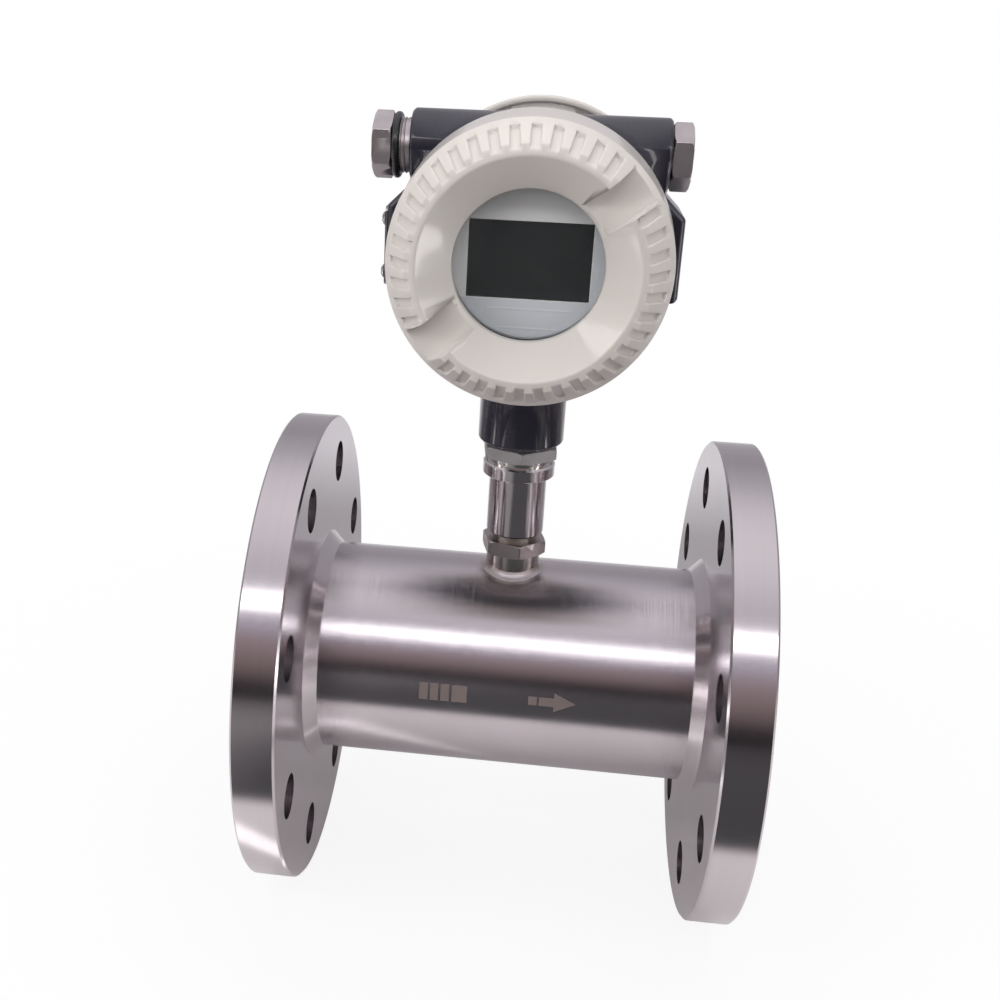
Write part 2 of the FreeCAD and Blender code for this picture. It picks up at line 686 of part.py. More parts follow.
# Polished sleeve with its collar, screwed onto the pickup.
parts["neck_sleeve"] = on_neck(turned("neck_sleeve", [
    ("spigot_dia / 2 + slip_gap", "sleeve_foot"),
    ("sleeve_outer / 2 - sleeve_bevel", "sleeve_foot"),
    ("sleeve_outer / 2", "sleeve_foot + sleeve_bevel"),
    ("sleeve_outer / 2", "collar_foot"),
    ("collar_outer / 2 - sleeve_bevel / 2", "collar_foot"),
    ("collar_outer / 2", "collar_foot + sleeve_bevel / 2"),
    ("collar_outer / 2", "collar_top - sleeve_bevel"),
    ("collar_outer / 2 - sleeve_bevel", "collar_top"),
    ("link_thread / 2 + slip_gap", "collar_top"),
    ("link_thread / 2 + slip_gap", "collar_top - link_depth"),
    ("sleeve_bore / 2", "collar_top - link_depth"),
    ("sleeve_bore / 2", "sleeve_foot + spigot_length + slip_gap"),
    ("spigot_dia / 2 + slip_gap", "sleeve_foot + spigot_length + slip_gap"),
]))

# Neck connector: the hollow threaded link on which the head turns.
parts["neck_connector"] = on_neck(turned("neck_connector", [
    ("link_bore / 2", "collar_top - link_depth + slip_gap"),
    ("link_thread / 2", "collar_top - link_depth + slip_gap"),
    ("link_thread / 2", "collar_top"),
    ("link_shoulder / 2", "collar_top"),
    ("link_shoulder / 2", "nut_foot"),
    ("link_thread / 2", "nut_foot"),
    ("link_thread / 2", "stem_foot + link_reach"),
    ("link_bore / 2", "stem_foot + link_reach"),
]))

# Thin lock nut that fixes the direction of the head.
parts["head_lock_nut"] = on_neck(hexagon(
    "head_lock_nut", "head_nut_flats", "link_thread / 2 + slip_gap",
    "nut_foot", "nut_foot + head_nut_thick", "head_nut_turn"))

# Cast housing: a drum with a threaded neck at each end, a stem below, a conduit
# barrel above on a saddle, and a pad with sloped shoulders on either side.
drum = on_drum(turned("drum", [
    ("0", "-neck_end"),
    ("neck_outer / 2", "-neck_end"),
    ("neck_outer / 2", "-drum_half"),
    ("drum_radius", "-drum_half"),
    ("drum_radius", "drum_half"),
    ("neck_outer / 2", "drum_half"),
    ("neck_outer / 2", "neck_end"),
    ("0", "neck_end"),
]))
stem = on_neck(turned("stem", [
    ("0", "stem_foot"),
    ("stem_outer / 2 - stem_chamfer", "stem_foot"),
    ("stem_outer / 2", "stem_foot + stem_chamfer"),
    ("stem_outer / 2", "drum_axis"),
    ("0", "drum_axis"),
]))
barrel = on_barrel(turned("barrel", [
    ("0", "-barrel_half"),
    ("barrel_outer / 2 - barrel_bevel", "-barrel_half"),
    ("barrel_outer / 2", "-barrel_half + barrel_bevel"),
    ("barrel_outer / 2", "barrel_half - barrel_bevel"),
    ("barrel_outer / 2 - barrel_bevel", "barrel_half"),
    ("0", "barrel_half"),
]))


def across_drum(label, corners, width, rounding):
    """Pad an outline in the plane across the drum axis, centred on the stem."""
    body = doc.addObject("PartDesign::Body", label)
    sketch = add_sketch(body, label + "_outline", "XY_Plane")
    add_outline(sketch, corners)
    pad = body.newObject("PartDesign::Pad", label + "_pad")
    pad.Profile = sketch
    pad.Midplane = True
    pad.setExpression("Length", bound(width))

    def outer_edge(edge):
        middle = edge.CenterOfMass
        return abs(middle.x) > values["barrel_half"] and abs(middle.z) < values["pad_width"]
    if rounding:
        round_edges(body, pad, rounding, outer_edge)
    return on_drum(body)


saddle = across_drum("saddle", [
    ("-saddle_left", "0"), ("saddle_half", "0"),
    ("saddle_half", "saddle_top"), ("-saddle_left", "saddle_top"),
], "saddle_width", None)
side_pads = across_drum("side_pads", [
    ("-pad_half", "-pad_foot"),
    ("pad_half", "-pad_foot"),
    ("pad_half", "pad_top"),
    ("saddle_half", "pad_slope"),
    ("-saddle_half", "pad_slope"),
    ("-pad_half", "pad_top"),
], "pad_width", "pad_round")
casting = joined("casting", [drum, stem, barrel, saddle, side_pads])

# The hollows: display chamber, wiring chamber, cable bores and thread holes.
front_chamber = on_drum(turned("front_chamber", ring_corners(
    "0", "chamber_radius", "wall_front", "neck_end")))
rear_chamber = on_drum(turned("rear_chamber", ring_corners(
    "0", "chamber_radius", "-neck_end", "wall_front - wall_thick")))
stem_hole = on_neck(turned("stem_hole", [
    ("0", "stem_foot"),
    ("link_thread / 2 + slip_gap", "stem_foot"),
    ("link_thread / 2 + slip_gap", "stem_foot + link_reach + run_out"),
    ("stem_bore / 2", "stem_foot + link_reach + run_out"),
    ("stem_bore / 2", "drum_axis - feed_drop"),
    ("0", "drum_axis - feed_drop"),
]))
lead_hole = place(
    rod("lead_hole", "feed_hole / 2", "wall_front + wall_thick"),
    x="middle", z="drum_axis - feed_drop", axis=(1, 0, 0), angle=90)


def entry_hole(label, right):
    return on_barrel(turned(label, [
        ("0", "barrel_half - entry_reach"),
        ("entry_bore / 2", "barrel_half - entry_reach"),
        ("entry_bore / 2", "barrel_half - entry_depth"),
        ("entry_thread / 2 + slip_gap", "barrel_half - entry_depth"),
        ("entry_thread / 2 + slip_gap", "barrel_half - recess_depth"),
        ("recess_dia / 2", "barrel_half - recess_depth"),
        ("recess_dia / 2", "barrel_half"),
        ("0", "barrel_half"),
    ]), right)


def plate_screw_spots():
    """Yield a tag and the two offset formulas of each screw of the name plate."""
    for tag, side, height in (("a", "-", "-"), ("b", "-", "+"), ("c", "+", "-"), ("d", "+", "+")):
        across = side + "screw_across / 2"
        up = "drum_axis - plate_drop %s screw_up / 2" % height
        yield tag, across, up


pilot_holes = []
for tag, across, up in plate_screw_spots():
    pilot = rod("pilot_hole_" + tag, "screw_shank / 2 + screw_play", "screw_depth + run_out")
    pilot_holes.append(place(pilot, "middle - pad_half", across, up, (0, 1, 0), 90))
hollows = joined("hollows", [
    front_chamber, rear_chamber, stem_hole, lead_hole,
    entry_hole("left_entry", False), entry_hole("right_entry", True)] + pilot_holes)
parts["housing_shell"] = cut_away("housing_shell", casting, hollows)


# Grip notch of a cover: it runs up the slanted band and out over the smooth nose.
def cut_notches(body, label, skirt):
    floor = "root_radius - notch_depth"
    sketch = add_sketch(body, label + "_notch_outline", "XZ_Plane")
    add_outline(sketch, [
        (floor, skirt + " + shoulder_rise"),
        ("skirt_radius", skirt + " + shoulder_rise"),
        ("skirt_radius", skirt + " + ridge_lift"),
        (floor + " - tooth_slant * (1 + nose_height / tooth_length)", skirt + " + ridge_lift"),
    ])
    notch = body.newObject("PartDesign::Pocket", label + "_notch")
    notch.Profile = sketch
    notch.Midplane = True
    notch.Type = "Length"
    notch.setExpression("Length", bound("notch_width"))
    return repeat_round(body, notch, "tooth_count")


# The two wrench slots lie on one slanted diameter, across the ridge and the teeth.
def slot_corners(turn):
    """Corners of a slot from its inner end outwards, its middle line at turn degrees."""
    corners = []
    ends = (("slot_start", "-"), ("2 * rim_radius", "-"), ("2 * rim_radius", "+"), ("slot_start", "+"))
    for along, side in ends:
        corners.append((
            "%s * cos(%s) %s slot_width / 2 * sin(%s)" % (along, turn, side, turn),
            "%s * sin(%s) %s slot_width / 2 * cos(%s)" % (along, turn, "+" if side == "-" else "-", turn)))
    return corners


def cut_slots(body, label, crest):
    for name, turn in (("_slot_up", "slot_angle * 1 deg"), ("_slot_down", "(slot_angle + 180) * 1 deg")):
        def draw(sketch, turn=turn):
            add_outline(sketch, slot_corners(turn))
        cut_pocket(body, label + name, draw, crest + " - slot_depth", crest + " + run_out")


def cover(label, skirt, hollow):
    """A screwed cover: a plain skirt, a slanted toothed band, a ridge and a dish.

    The corners in hollow lead from the foot of the dish to the end of the thread."""
    body = turned(label, [
        ("neck_outer / 2 + thread_gap", "rim_plane + seal_relief"),
        ("neck_outer / 2 + thread_gap + seal_relief", "rim_plane"),
        ("rim_radius - rim_bevel", "rim_plane"),
        ("rim_radius", "rim_plane + rim_bevel"),
        ("skirt_radius", skirt),
        ("root_radius", skirt + " + shoulder_rise"),
        ("tip_radius", skirt + " + shoulder_rise + tooth_length"),
        ("ridge_radius + ridge_flat / 2", skirt + " + ridge_lift"),
        ("ridge_radius - ridge_flat / 2", skirt + " + ridge_lift"),
    ] + hollow + [
        ("inner_radius", "thread_end"),
        ("neck_outer / 2 + thread_gap", "thread_end"),
    ])
    cut_notches(body, label, skirt)
    cut_slots(body, label, skirt + " + ridge_lift")
    return body


# Front cover with the window opening and the stepped seat for the glass.
parts["front_cover"] = on_drum(cover("front_cover", "front_skirt", [
    ("window_dia / 2", "lip_front"),
    ("window_dia / 2", "glass_seat"),
    ("glass_radius + slip_gap", "glass_seat"),
    ("glass_radius + slip_gap", "retainer_back"),
    ("inner_radius", "retainer_back"),
]))

# Window glass between a soft gasket and a threaded retaining ring.
parts["window_gasket"] = on_drum(turned("window_gasket", ring_corners(
    "gasket_radius", "glass_radius", "glass_front", "glass_seat")))
parts["window_glass"] = on_drum(turned("window_glass", ring_corners(
    "0", "glass_radius", "glass_back", "glass_front")))
parts["glass_retainer"] = on_drum(turned("glass_retainer", ring_corners(
    "gasket_radius", "glass_radius", "retainer_back", "glass_back")))

# Rear cover: the same casting with a closed end and a shorter skirt.
parts["rear_cover"] = on_drum(cover("rear_cover", "rear_skirt", [
    ("window_dia / 2", "rear_lip"),
    ("0", "rear_lip"),
    ("0", "rear_lip - back_wall"),
    ("inner_radius", "rear_lip - back_wall"),
]), front=False)


# Sealing ring of round section about its own Z axis.
def sealing_ring(label, middle, section):
    ring = doc.addObject("Part::Torus", label)
    ring.setExpression("Radius1", bound(middle))
    ring.setExpression("Radius2", bound(section + " / 2"))
    return ring


def drum_seal(label, side):
    ring = sealing_ring(label, "neck_outer / 2 + soft_gap + seal_section / 2", "seal_section")
    y = "%s(drum_half + seal_section / 2 + soft_gap)" % side
    return place(ring, "middle", y, "drum_axis", (1, 0, 0), 90)


parts["front_cover_oring"] = drum_seal("front_cover_oring", "-")
parts["rear_cover_oring"] = drum_seal("rear_cover_oring", "0 + ")


# Posts in a square round the drum axis, from height low to height high.
def posts(label, radius, low, high):
    angles = [360 / values["post_count"] * (number + 0.5) for number in range(values["post_count"])]
    pegs = []
    for number, angle in enumerate(angles):
        peg = rod("%s_%d" % (label, number), radius, "(%s) - (%s)" % (high, low))
        across = "middle + post_radius * %.6f" % math.cos(math.radians(angle))
        up = "drum_axis + post_radius * %.6f" % math.sin(math.radians(angle))
        pegs.append(place(peg, across, "-(%s)" % low, up, (1, 0, 0), 90))
    return pegs


def grouped(label, pieces):
    group = doc.addObject("Part::Compound", label)
    group.Links = pieces
    return group


# Electronics: main board on the partition, display board ahead of it on longer
# posts, the display itself, and the dial plate that frames it.
parts["board_standoffs"] = grouped("board_standoffs", posts(
    "standoff", "post_dia / 2", "wall_front", "main_back"))
parts["main_board"] = on_drum(turned("main_board", ring_corners(
    "0", "board_radius", "main_back", "main_face")))
parts["display_posts"] = grouped("display_posts", posts(
    "display_post", "post_dia / 2", "main_face", "display_face - board_thick"))
parts["display_board"] = on_drum(turned("display_board", ring_corners(
    "0", "board_radius", "display_face - board_thick", "display_face")))

dial_disc = on_drum(turned("dial_disc", ring_corners("0", "dial_radius", "dial_back", "dial_front")))
dial_window = place(
    block("dial_window", "lcd_width + 2 * lcd_gap", "dial_thick + 2 * run_out", "lcd_height + 2 * lcd_gap"),
    "middle - lcd_width / 2 - lcd_gap", "-dial_front - run_out", "drum_axis - lcd_height / 2 - lcd_gap")
dial_plate = cut_away("dial_plate", dial_disc, dial_window)
parts["display_bezel"] = joined("display_bezel", [dial_plate] + posts(
    "dial_post", "post_dia / 2", "display_face", "dial_back"))
parts["lcd_panel"] = place(
    block("lcd_panel", "lcd_width", "dial_front - slip_gap - display_face", "lcd_height"),
    "middle - lcd_width / 2", "-dial_front + slip_gap", "drum_axis - lcd_height / 2")

# Terminal block on the rear of the partition, with its wire entries and screws.
block_body = place(
    block("block_body", "block_width", "block_depth", "block_height"),
    "middle - block_width / 2", "-wall_front + wall_thick", "drum_axis - block_rise")
wire_entries = []
screws = []
for number in range(values["terminal_count"]):
    offset = number - (values["terminal_count"] - 1) / 2
    across = "middle + terminal_pitch * %.2f" % offset
    face = "-wall_front + wall_thick + block_depth"
    entry = rod("wire_entry_%d" % number, "wire_hole / 2", "block_height / 2")
    wire_entries.append(place(entry, across, face + " - wire_hole", "drum_axis - block_rise"))
    screw = rod("terminal_screw_%d" % number, "terminal_head / 2", "terminal_rise")
    middle_height = "drum_axis - block_rise + block_height * 3 / 4"
    screws.append(place(screw, across, face, middle_height, (1, 0, 0), -90))
parts["terminal_block"] = cut_away("terminal_block", block_body, joined("wire_holes", wire_entries))
parts["terminal_screws"] = grouped("terminal_screws", screws)


# Pickup lead: up the neck and the stem, then forward through the partition to the
# back of the main board, as one round cable with a tangent bend.
def lead_path(foot, bend, height, end):
    rise = FreeCAD.Vector(0, 0, height - bend)
    start = FreeCAD.Vector(0, 0, foot)
    after = FreeCAD.Vector(0, -bend, height)
    slant = bend * (1 - math.sqrt(0.5))
    middle = FreeCAD.Vector(0, -slant, height - slant)
    run = Part.LineSegment(start, rise).toShape()
    arc = Part.Arc(rise, middle, after).toShape()
    last = Part.LineSegment(after, FreeCAD.Vector(0, -end, height)).toShape()
    return Part.Wire([run, arc, last])


def chain(*names):
    return sum(values[name] for name in names)


coil_top = values["meter_bore"] / 2 + chain(
    "pickup_wall", "pickup_seat", "pickup_shell", "coil_length", "pickup_seat")
drum_height = chain(
    "boss_top", "lock_thick", "groove_length", "sleeve_length", "collar_length",
    "shoulder_height", "head_nut_thick", "slip_gap", "stem_length")
lead_line = lead_path(
    coil_top, values["lead_bend"], drum_height - values["feed_drop"], chain("wall_front", "main_lift"))
lead_start = Part.Wire([Part.Circle(
    FreeCAD.Vector(0, 0, coil_top), FreeCAD.Vector(0, 0, 1), values["lead_dia"] / 2).toShape()])
lead = doc.addObject("Part::Feature", "pickup_lead")
lead.Shape = lead_line.makePipeShell([lead_start], True, False)
lead.Placement = FreeCAD.Placement(
    FreeCAD.Vector(values["face_to_face"] / 2, 0, 0), FreeCAD.Rotation())
parts["pickup_lead"] = lead


# Blanking plug: hexagon head, a relief for the sealing ring and a threaded shank.
# Its own Z axis starts under the head and points out of the barrel.
def plug(label, standoff, right):
    corner = "plug_flats / sqrt(3)"
    shank_end = "-relief_length - plug_thread"
    body = turned(label, [
        ("0", shank_end),
        ("entry_thread / 2 - plug_point", shank_end),
        ("entry_thread / 2", shank_end + " + plug_point"),
        ("entry_thread / 2", "-relief_length"),
        ("plug_relief / 2", "-relief_length"),
        ("plug_relief / 2", "0"),
        (corner + " - nut_chamfer", "0"),
        (corner, "nut_chamfer / 2"),
        (corner, "plug_head - nut_chamfer / 2"),
        (corner + " - nut_chamfer", "plug_head"),
        ("0", "plug_head"),
    ])
    cut_pocket(body, label + "_flats", around_hexagon("plug_flats", "plug_turn"), "0", "plug_head")
    side = "+" if right else "-"
    x = "middle %s (barrel_half + %s)" % (side, standoff)
    return place(body, x, "0", "barrel_axis", (0, 1, 0), 90 if right else -90)


def plug_ring(label, standoff, gap, right):
    ring = sealing_ring(label, "(ring_outer - seal_ring) / 2", "seal_ring")
    side = "+" if right else "-"
    x = "middle %s (barrel_half + %s - seal_ring / 2 - %s)" % (side, standoff, gap)
    return place(ring, x, "0", "barrel_axis", (0, 1, 0), 90)


parts["left_plug"] = plug("left_plug", "left_standoff", False)
parts["right_plug"] = plug("right_plug", "right_standoff", True)
parts["left_plug_oring"] = plug_ring("left_plug_oring", "left_standoff", "left_ring_gap", False)
parts["right_plug_oring"] = plug_ring("right_plug_oring", "right_standoff", "slip_gap", True)

# Bare name plate on the left pad, with a domed screw in each corner.
plate_body = doc.addObject("PartDesign::Body", "plate_body")
plate_sketch = add_sketch(plate_body, "plate_outline", "YZ_Plane")
add_outline(plate_sketch, [
    ("-plate_width / 2", "-plate_height / 2"), ("plate_width / 2", "-plate_height / 2"),
    ("plate_width / 2", "plate_height / 2"), ("-plate_width / 2", "plate_height / 2")])
plate_pad = plate_body.newObject("PartDesign::Pad", "plate_pad")
plate_pad.Profile = plate_sketch
plate_pad.setExpression("Length", bound("plate_thick"))
round_edges(plate_body, plate_pad, "plate_corner",
            lambda edge: abs(edge.BoundBox.XLength - values["plate_thick"]) < 0.01)
place(plate_body, "middle - pad_half - plate_thick", "0", "drum_axis - plate_drop")
plate_holes = []
plate_screws = []
for tag, across, up in plate_screw_spots():
    hole = rod("plate_hole_" + tag, "screw_shank / 2 + screw_play", "plate_thick + 2 * run_out")
    plate_holes.append(place(hole, "middle - pad_half - plate_thick - run_out", across, up, (0, 1, 0), 90))
    screw = turned("plate_screw_" + tag, [
        ("0", "-screw_depth"),
        ("screw_shank / 2", "-screw_depth"),
        ("screw_shank / 2", "plate_thick"),
        ("screw_head / 2", "plate_thick"),
        ("screw_head / 2", "plate_thick + screw_rise / 4"),
        ("screw_head / 3", "plate_thick + screw_rise * 3 / 4"),
        ("screw_head / 6", "plate_thick + screw_rise"),
        ("0", "plate_thick + screw_rise"),
    ])
    plate_screws.append(place(screw, "middle - pad_half", across, up, (0, 1, 0), -90))
parts["nameplate"] = cut_away("nameplate", plate_body, joined("plate_holes", plate_holes))
parts["nameplate_screws"] = grouped("nameplate_screws", plate_screws)

doc.recompute()

faults = []
for item in doc.Objects:
    if "Invalid" in item.State or "Error" in item.State:
        faults.append("%s is %s" % (item.Name, item.State))
for name, item in parts.items():
    item.Label = name
    if item.Shape.isNull() or not item.Shape.isValid() or not item.Shape.Solids:
        faults.append("%s has no valid solid" % name)
if faults:
    raise RuntimeError("; ".join(faults))

os.makedirs("parts", exist_ok=True)
for name, item in parts.items():
    item.Shape.exportStep(os.path.join("parts", name + ".step"))
    box = item.Shape.BoundBox
    print("%-24s %2d solids  volume %10.1f  x %7.2f..%7.2f  y %7.2f..%7.2f  z %7.2f..%7.2f" % (
        name, len(item.Shape.Solids), item.Shape.Volume,
        box.XMin, box.XMax, box.YMin, box.YMax, box.ZMin, box.ZMax))
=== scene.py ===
import math

import bmesh
import bpy
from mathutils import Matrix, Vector


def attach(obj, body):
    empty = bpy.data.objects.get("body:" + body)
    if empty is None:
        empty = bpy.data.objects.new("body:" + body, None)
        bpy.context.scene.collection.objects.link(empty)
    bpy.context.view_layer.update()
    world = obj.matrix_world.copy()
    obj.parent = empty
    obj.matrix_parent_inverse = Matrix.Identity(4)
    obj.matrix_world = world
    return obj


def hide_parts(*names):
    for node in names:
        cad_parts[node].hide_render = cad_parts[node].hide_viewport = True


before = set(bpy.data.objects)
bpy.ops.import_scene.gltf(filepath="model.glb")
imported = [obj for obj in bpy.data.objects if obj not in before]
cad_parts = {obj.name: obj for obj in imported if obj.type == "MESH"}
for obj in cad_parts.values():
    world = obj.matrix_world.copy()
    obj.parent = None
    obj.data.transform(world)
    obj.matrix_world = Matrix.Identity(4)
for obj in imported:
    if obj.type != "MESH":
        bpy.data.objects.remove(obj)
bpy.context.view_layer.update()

# Turbine flow meter: a flanged stainless pipe body with an enamelled indicator head.
# The frame is in metres: +X along the flow, +Z up to the head, -Y towards the viewer.
# The neck stands at the middle of the pipe.
middle = 0.1

# Camera, in front of the display side and a little above the head. It is turned and
# shifted so that the meter leans and sits in the picture as in the photograph.
camera_data = bpy.data.cameras.new("viewpoint")
camera_data.sensor_width = 36
camera_data.lens = 44.955
camera_data.shift_x = 0.0945
camera_data.shift_y = -0.0173
camera_data.clip_start = 0.01
camera = bpy.data.objects.new("viewpoint", camera_data)
camera.location = (0.11042, -0.48532, 0.25945)
camera.rotation_euler = [math.radians(angle) for angle in (69.5591, -1.8280, 7.3769)]
bpy.context.collection.objects.link(camera)
bpy.context.scene.camera = camera
bpy.context.scene.view_settings.view_transform = "Standard"


class Wire:
    """One output of a shader node. Arithmetic on it adds Math nodes."""

    def __init__(self, paint, socket):
        self.paint = paint
        self.socket = socket

    def maths(self, operation, *others):
        """One Math node of the given operation."""
        return self.paint.node(
            "ShaderNodeMath", {"operation": operation}, dict(enumerate((self,) + others)))

    def __add__(self, other):
        return self.maths("ADD", other)

    def __radd__(self, other):
        return self.maths("ADD", other)

    def __sub__(self, other):
        return self.maths("SUBTRACT", other)

    def __rsub__(self, other):
        return self.paint.node("ShaderNodeMath", {"operation": "SUBTRACT"}, {0: other, 1: self})

    def __mul__(self, other):
        return self.maths("MULTIPLY", other)

    def __rmul__(self, other):
        return self.maths("MULTIPLY", other)

    def __truediv__(self, other):
        return self.maths("DIVIDE", other)

    def __pow__(self, other):
        return self.maths("POWER", other)

    def __gt__(self, other):
        return self.maths("GREATER_THAN", other)

    def __lt__(self, other):
        return self.maths("LESS_THAN", other)

    def __abs__(self):
        return self.maths("ABSOLUTE")

    def rising(self, low, high):
        """0 below low, 1 above high and even between them."""
        return self.paint.node(
            "ShaderNodeMapRange", {"clamp": True}, {0: self, 1: low, 2: high, 3: 0.0, 4: 1.0})


class Paint:
    """A material while it is being mixed. Its shader is one Principled node."""

    def __init__(self, name, colour, roughness, **constants):
        self.material = bpy.data.materials.new(name)
        self.material.use_nodes = True
        self.tree = self.material.node_tree
        self.shader = self.tree.nodes["Principled BSDF"]
        self.shader.inputs["Base Color"].default_value = tuple(colour) + (1,)
        self.shader.inputs["Roughness"].default_value = roughness
        for title, value in constants.items():
            self.shader.inputs[title.replace("_", " ").title()].default_value = value
        self.material.diffuse_color = tuple(colour) + (1,)

    def node(self, kind, settings=None, inputs=None, output=0):
        """Add a node and hand back one of its outputs."""
        made = self.tree.nodes.new(kind)
        for title, value in (settings or {}).items():
            if title == "stops":
                ramp = made.color_ramp.elements
                while len(ramp) < len(value):
                    ramp.new(0.5)
                for stop, (spot, colour) in zip(ramp, value):
                    stop.position = spot
                    stop.color = tuple(colour) + (1,)
            else:
                setattr(made, title, value)
        for title, value in (inputs or {}).items():
            if isinstance(value, Wire):
                self.tree.links.new(value.socket, made.inputs[title])
            else:
                made.inputs[title].default_value = value
        return Wire(self, made.outputs[output])

    def feed(self, title, wire):
        """Let a wire drive one input of the shader."""
        self.tree.links.new(wire.socket, self.shader.inputs[title])
        return self

    def spot(self):
        """The place on the piece as a vector and as its x, y and z, in metres."""
        place = self.node("ShaderNodeTexCoord", output="Object")
        return [place] + self.parts(place)

    def parts(self, vector):
        """The x, y and z of a vector."""
        return [
            self.node("ShaderNodeSeparateXYZ", None, {0: vector}, part) for part in range(3)]

    def stretched(self, place, x, y, z):
        """The place with each way scaled by its own number."""
        return self.node("ShaderNodeMapping", None, {"Vector": place, "Scale": (x, y, z)})

    def cloud(self, place, scale, detail=3.0, roughness=0.55):
        """Soft noise from 0 to 1."""
        return self.node("ShaderNodeTexNoise", None, {
            "Vector": place, "Scale": scale, "Detail": detail, "Roughness": roughness})

    def rings(self, along, scale, detail=2.0):
        """Uneven turning marks that follow one distance."""
        return self.node("ShaderNodeTexNoise", {"noise_dimensions": "1D"}, {
            "W": along, "Scale": scale, "Detail": detail, "Roughness": 0.7})

    def between(self, amount, first, second):
        """A colour that goes from first to second with amount."""
        ends = [tuple(end) + (1,) if isinstance(end, tuple) else end for end in (first, second)]
        return self.node(
            "ShaderNodeMix", {"data_type": "RGBA"}, {0: amount, 6: ends[0], 7: ends[1]}, 2)

    def bumped(self, height, depth, strength=1.0):
        """Raise the surface by height, where 1 stands for depth in metres."""
        normal = self.node("ShaderNodeBump", None, {
            "Height": height, "Distance": depth, "Strength": strength})
        return self.feed("Normal", normal)


def wave(along, pitch):
    """An even wave from 0 to 1 that repeats with pitch."""
    return (along * (2 * math.pi / pitch)).maths("SINE") * 0.5 + 0.5


def finish_node(paint, *nodes):
    """Give CAD pieces a material."""
    for node in nodes:
        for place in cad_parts[node].material_slots:
            place.material = paint.material


# Floor: a plain pale studio table, white to the camera apart from the soft shadow. In
# reflections it is pale under and beside the meter, grey far behind it and dark in
# front, for black screens with bright gaps between them. Bearings are in degrees.
floor_size = 6.0
floor_height = -0.1
floor_gap = 0.0002
floor_mesh = bpy.data.meshes.new("studio_floor")
shape = bmesh.new()
bmesh.ops.create_grid(shape, x_segments=1, y_segments=1, size=floor_size / 2)
bmesh.ops.translate(shape, vec=(middle, 0, floor_height - floor_gap), verts=shape.verts)
shape.to_mesh(floor_mesh)
shape.free()
floor = bpy.data.objects.new("studio_floor", floor_mesh)
bpy.context.collection.objects.link(floor)
floor_paint = Paint("pale_table", (0.8, 0.79, 0.785), 0.7)
place, x, y, z = floor_paint.spot()
reach = (((x - middle) ** 2) + (y * y)) ** 0.5
bearing = (x - middle).maths("ARCTAN2", 0 - y) * (180 / math.pi)
left_gap = 1 - abs(bearing + 46).rising(2.0, 3.5)
lit = y.rising(-0.166, -0.148).maths("MAXIMUM", bearing.rising(43, 47))
lit = lit.maths("MAXIMUM", (0 - bearing).rising(79, 83)).maths("MAXIMUM", left_gap)
open_floor = floor_paint.node("ShaderNodeValToRGB", {"stops": [
    (0.0, (0.90, 0.86, 0.865)), (0.25, (0.86, 0.82, 0.83)), (0.375, (0.46, 0.43, 0.45)),
    (0.75, (0.46, 0.44, 0.46)), (0.95, (0.88, 0.86, 0.89))]}, {0: y.rising(-0.2, 0.6)})
screens = floor_paint.between(x.rising(-0.08, -0.01), (0.24, 0.225, 0.23), (0.05, 0.05, 0.055))
floor_paint.feed("Base Color", floor_paint.between(lit, screens, open_floor))
seen = floor_paint.node("ShaderNodeLightPath", output="Is Camera Ray")
mirrored = floor_paint.node("ShaderNodeLightPath", output="Is Glossy Ray")
right_gap = 1 - abs(bearing - 74).rising(2.0, 3.5)
far_left_gap = 1 - abs(bearing + 76).rising(1.2, 2.4)
bright_gaps = right_gap + far_left_gap * 0.5
gap_light = floor_paint.node(
    "ShaderNodeEmission", None, {"Color": (1, 0.98, 0.98, 1), "Strength": 9.0})
in_mirror = floor_paint.node("ShaderNodeMixShader", None, {
    0: (bright_gaps * reach.rising(0.42, 0.5) + left_gap * 0.12) * mirrored,
    1: Wire(floor_paint, floor_paint.shader.outputs[0]), 2: gap_light})
glow = floor_paint.node("ShaderNodeEmission", None, {"Color": (1, 1, 1, 1), "Strength": 1.0})
pale = floor_paint.node("ShaderNodeBsdfDiffuse", None, {"Color": (0.9, 0.9, 0.9, 1)})
clear_white = floor_paint.node("ShaderNodeMixShader", None, {
    0: reach.rising(0.16, 0.5) * 0.12 + 0.88, 1: pale, 2: glow})
table = floor_paint.node("ShaderNodeMixShader", None, {0: seen, 1: in_mirror, 2: clear_white})
floor_output = floor_paint.tree.nodes["Material Output"]
floor_paint.tree.links.new(table.socket, floor_output.inputs["Surface"])
floor_mesh.materials.append(floor_paint.material)

# Room: an even soft light with a white background. In reflections the room is grey
# behind the meter, pale overhead and dark in front, below the lamps.
room = bpy.data.worlds.new("studio_room")
bpy.context.scene.world = room
room.use_nodes = True


class Room(Paint):
    """The world's own node tree, mixed with the same words as a material."""

    def __init__(self, world):
        self.tree = world.node_tree


air = Room(room)
direction = air.node("ShaderNodeTexCoord", output="Generated")
way_x, way_y, way_z = air.parts(direction)
climb = way_z * 0.5 + 0.5
height_ramp = air.node("ShaderNodeValToRGB", {"stops": [
    (0.0, (0.60, 0.57, 0.58)), (0.5, (0.012, 0.01, 0.012)), (0.544, (0.03, 0.027, 0.03)),
    (0.604, (0.21, 0.16, 0.16)), (0.711, (0.36, 0.28, 0.29)), (0.772, (0.50, 0.46, 0.56)),
    (0.815, (0.45, 0.42, 0.48)), (0.93, (0.72, 0.68, 0.73)),
    (1.0, (0.98, 0.94, 0.98))]}, {0: climb})
back_ramp = air.node("ShaderNodeValToRGB", {"stops": [
    (0.5, (0.46, 0.44, 0.47)), (0.75, (0.42, 0.40, 0.43)), (0.88, (0.58, 0.56, 0.60)),
    (1.0, (0.98, 0.94, 0.98))]}, {0: climb})
around = air.between(way_y.rising(-0.02, 0.3), height_ramp, back_ramp)
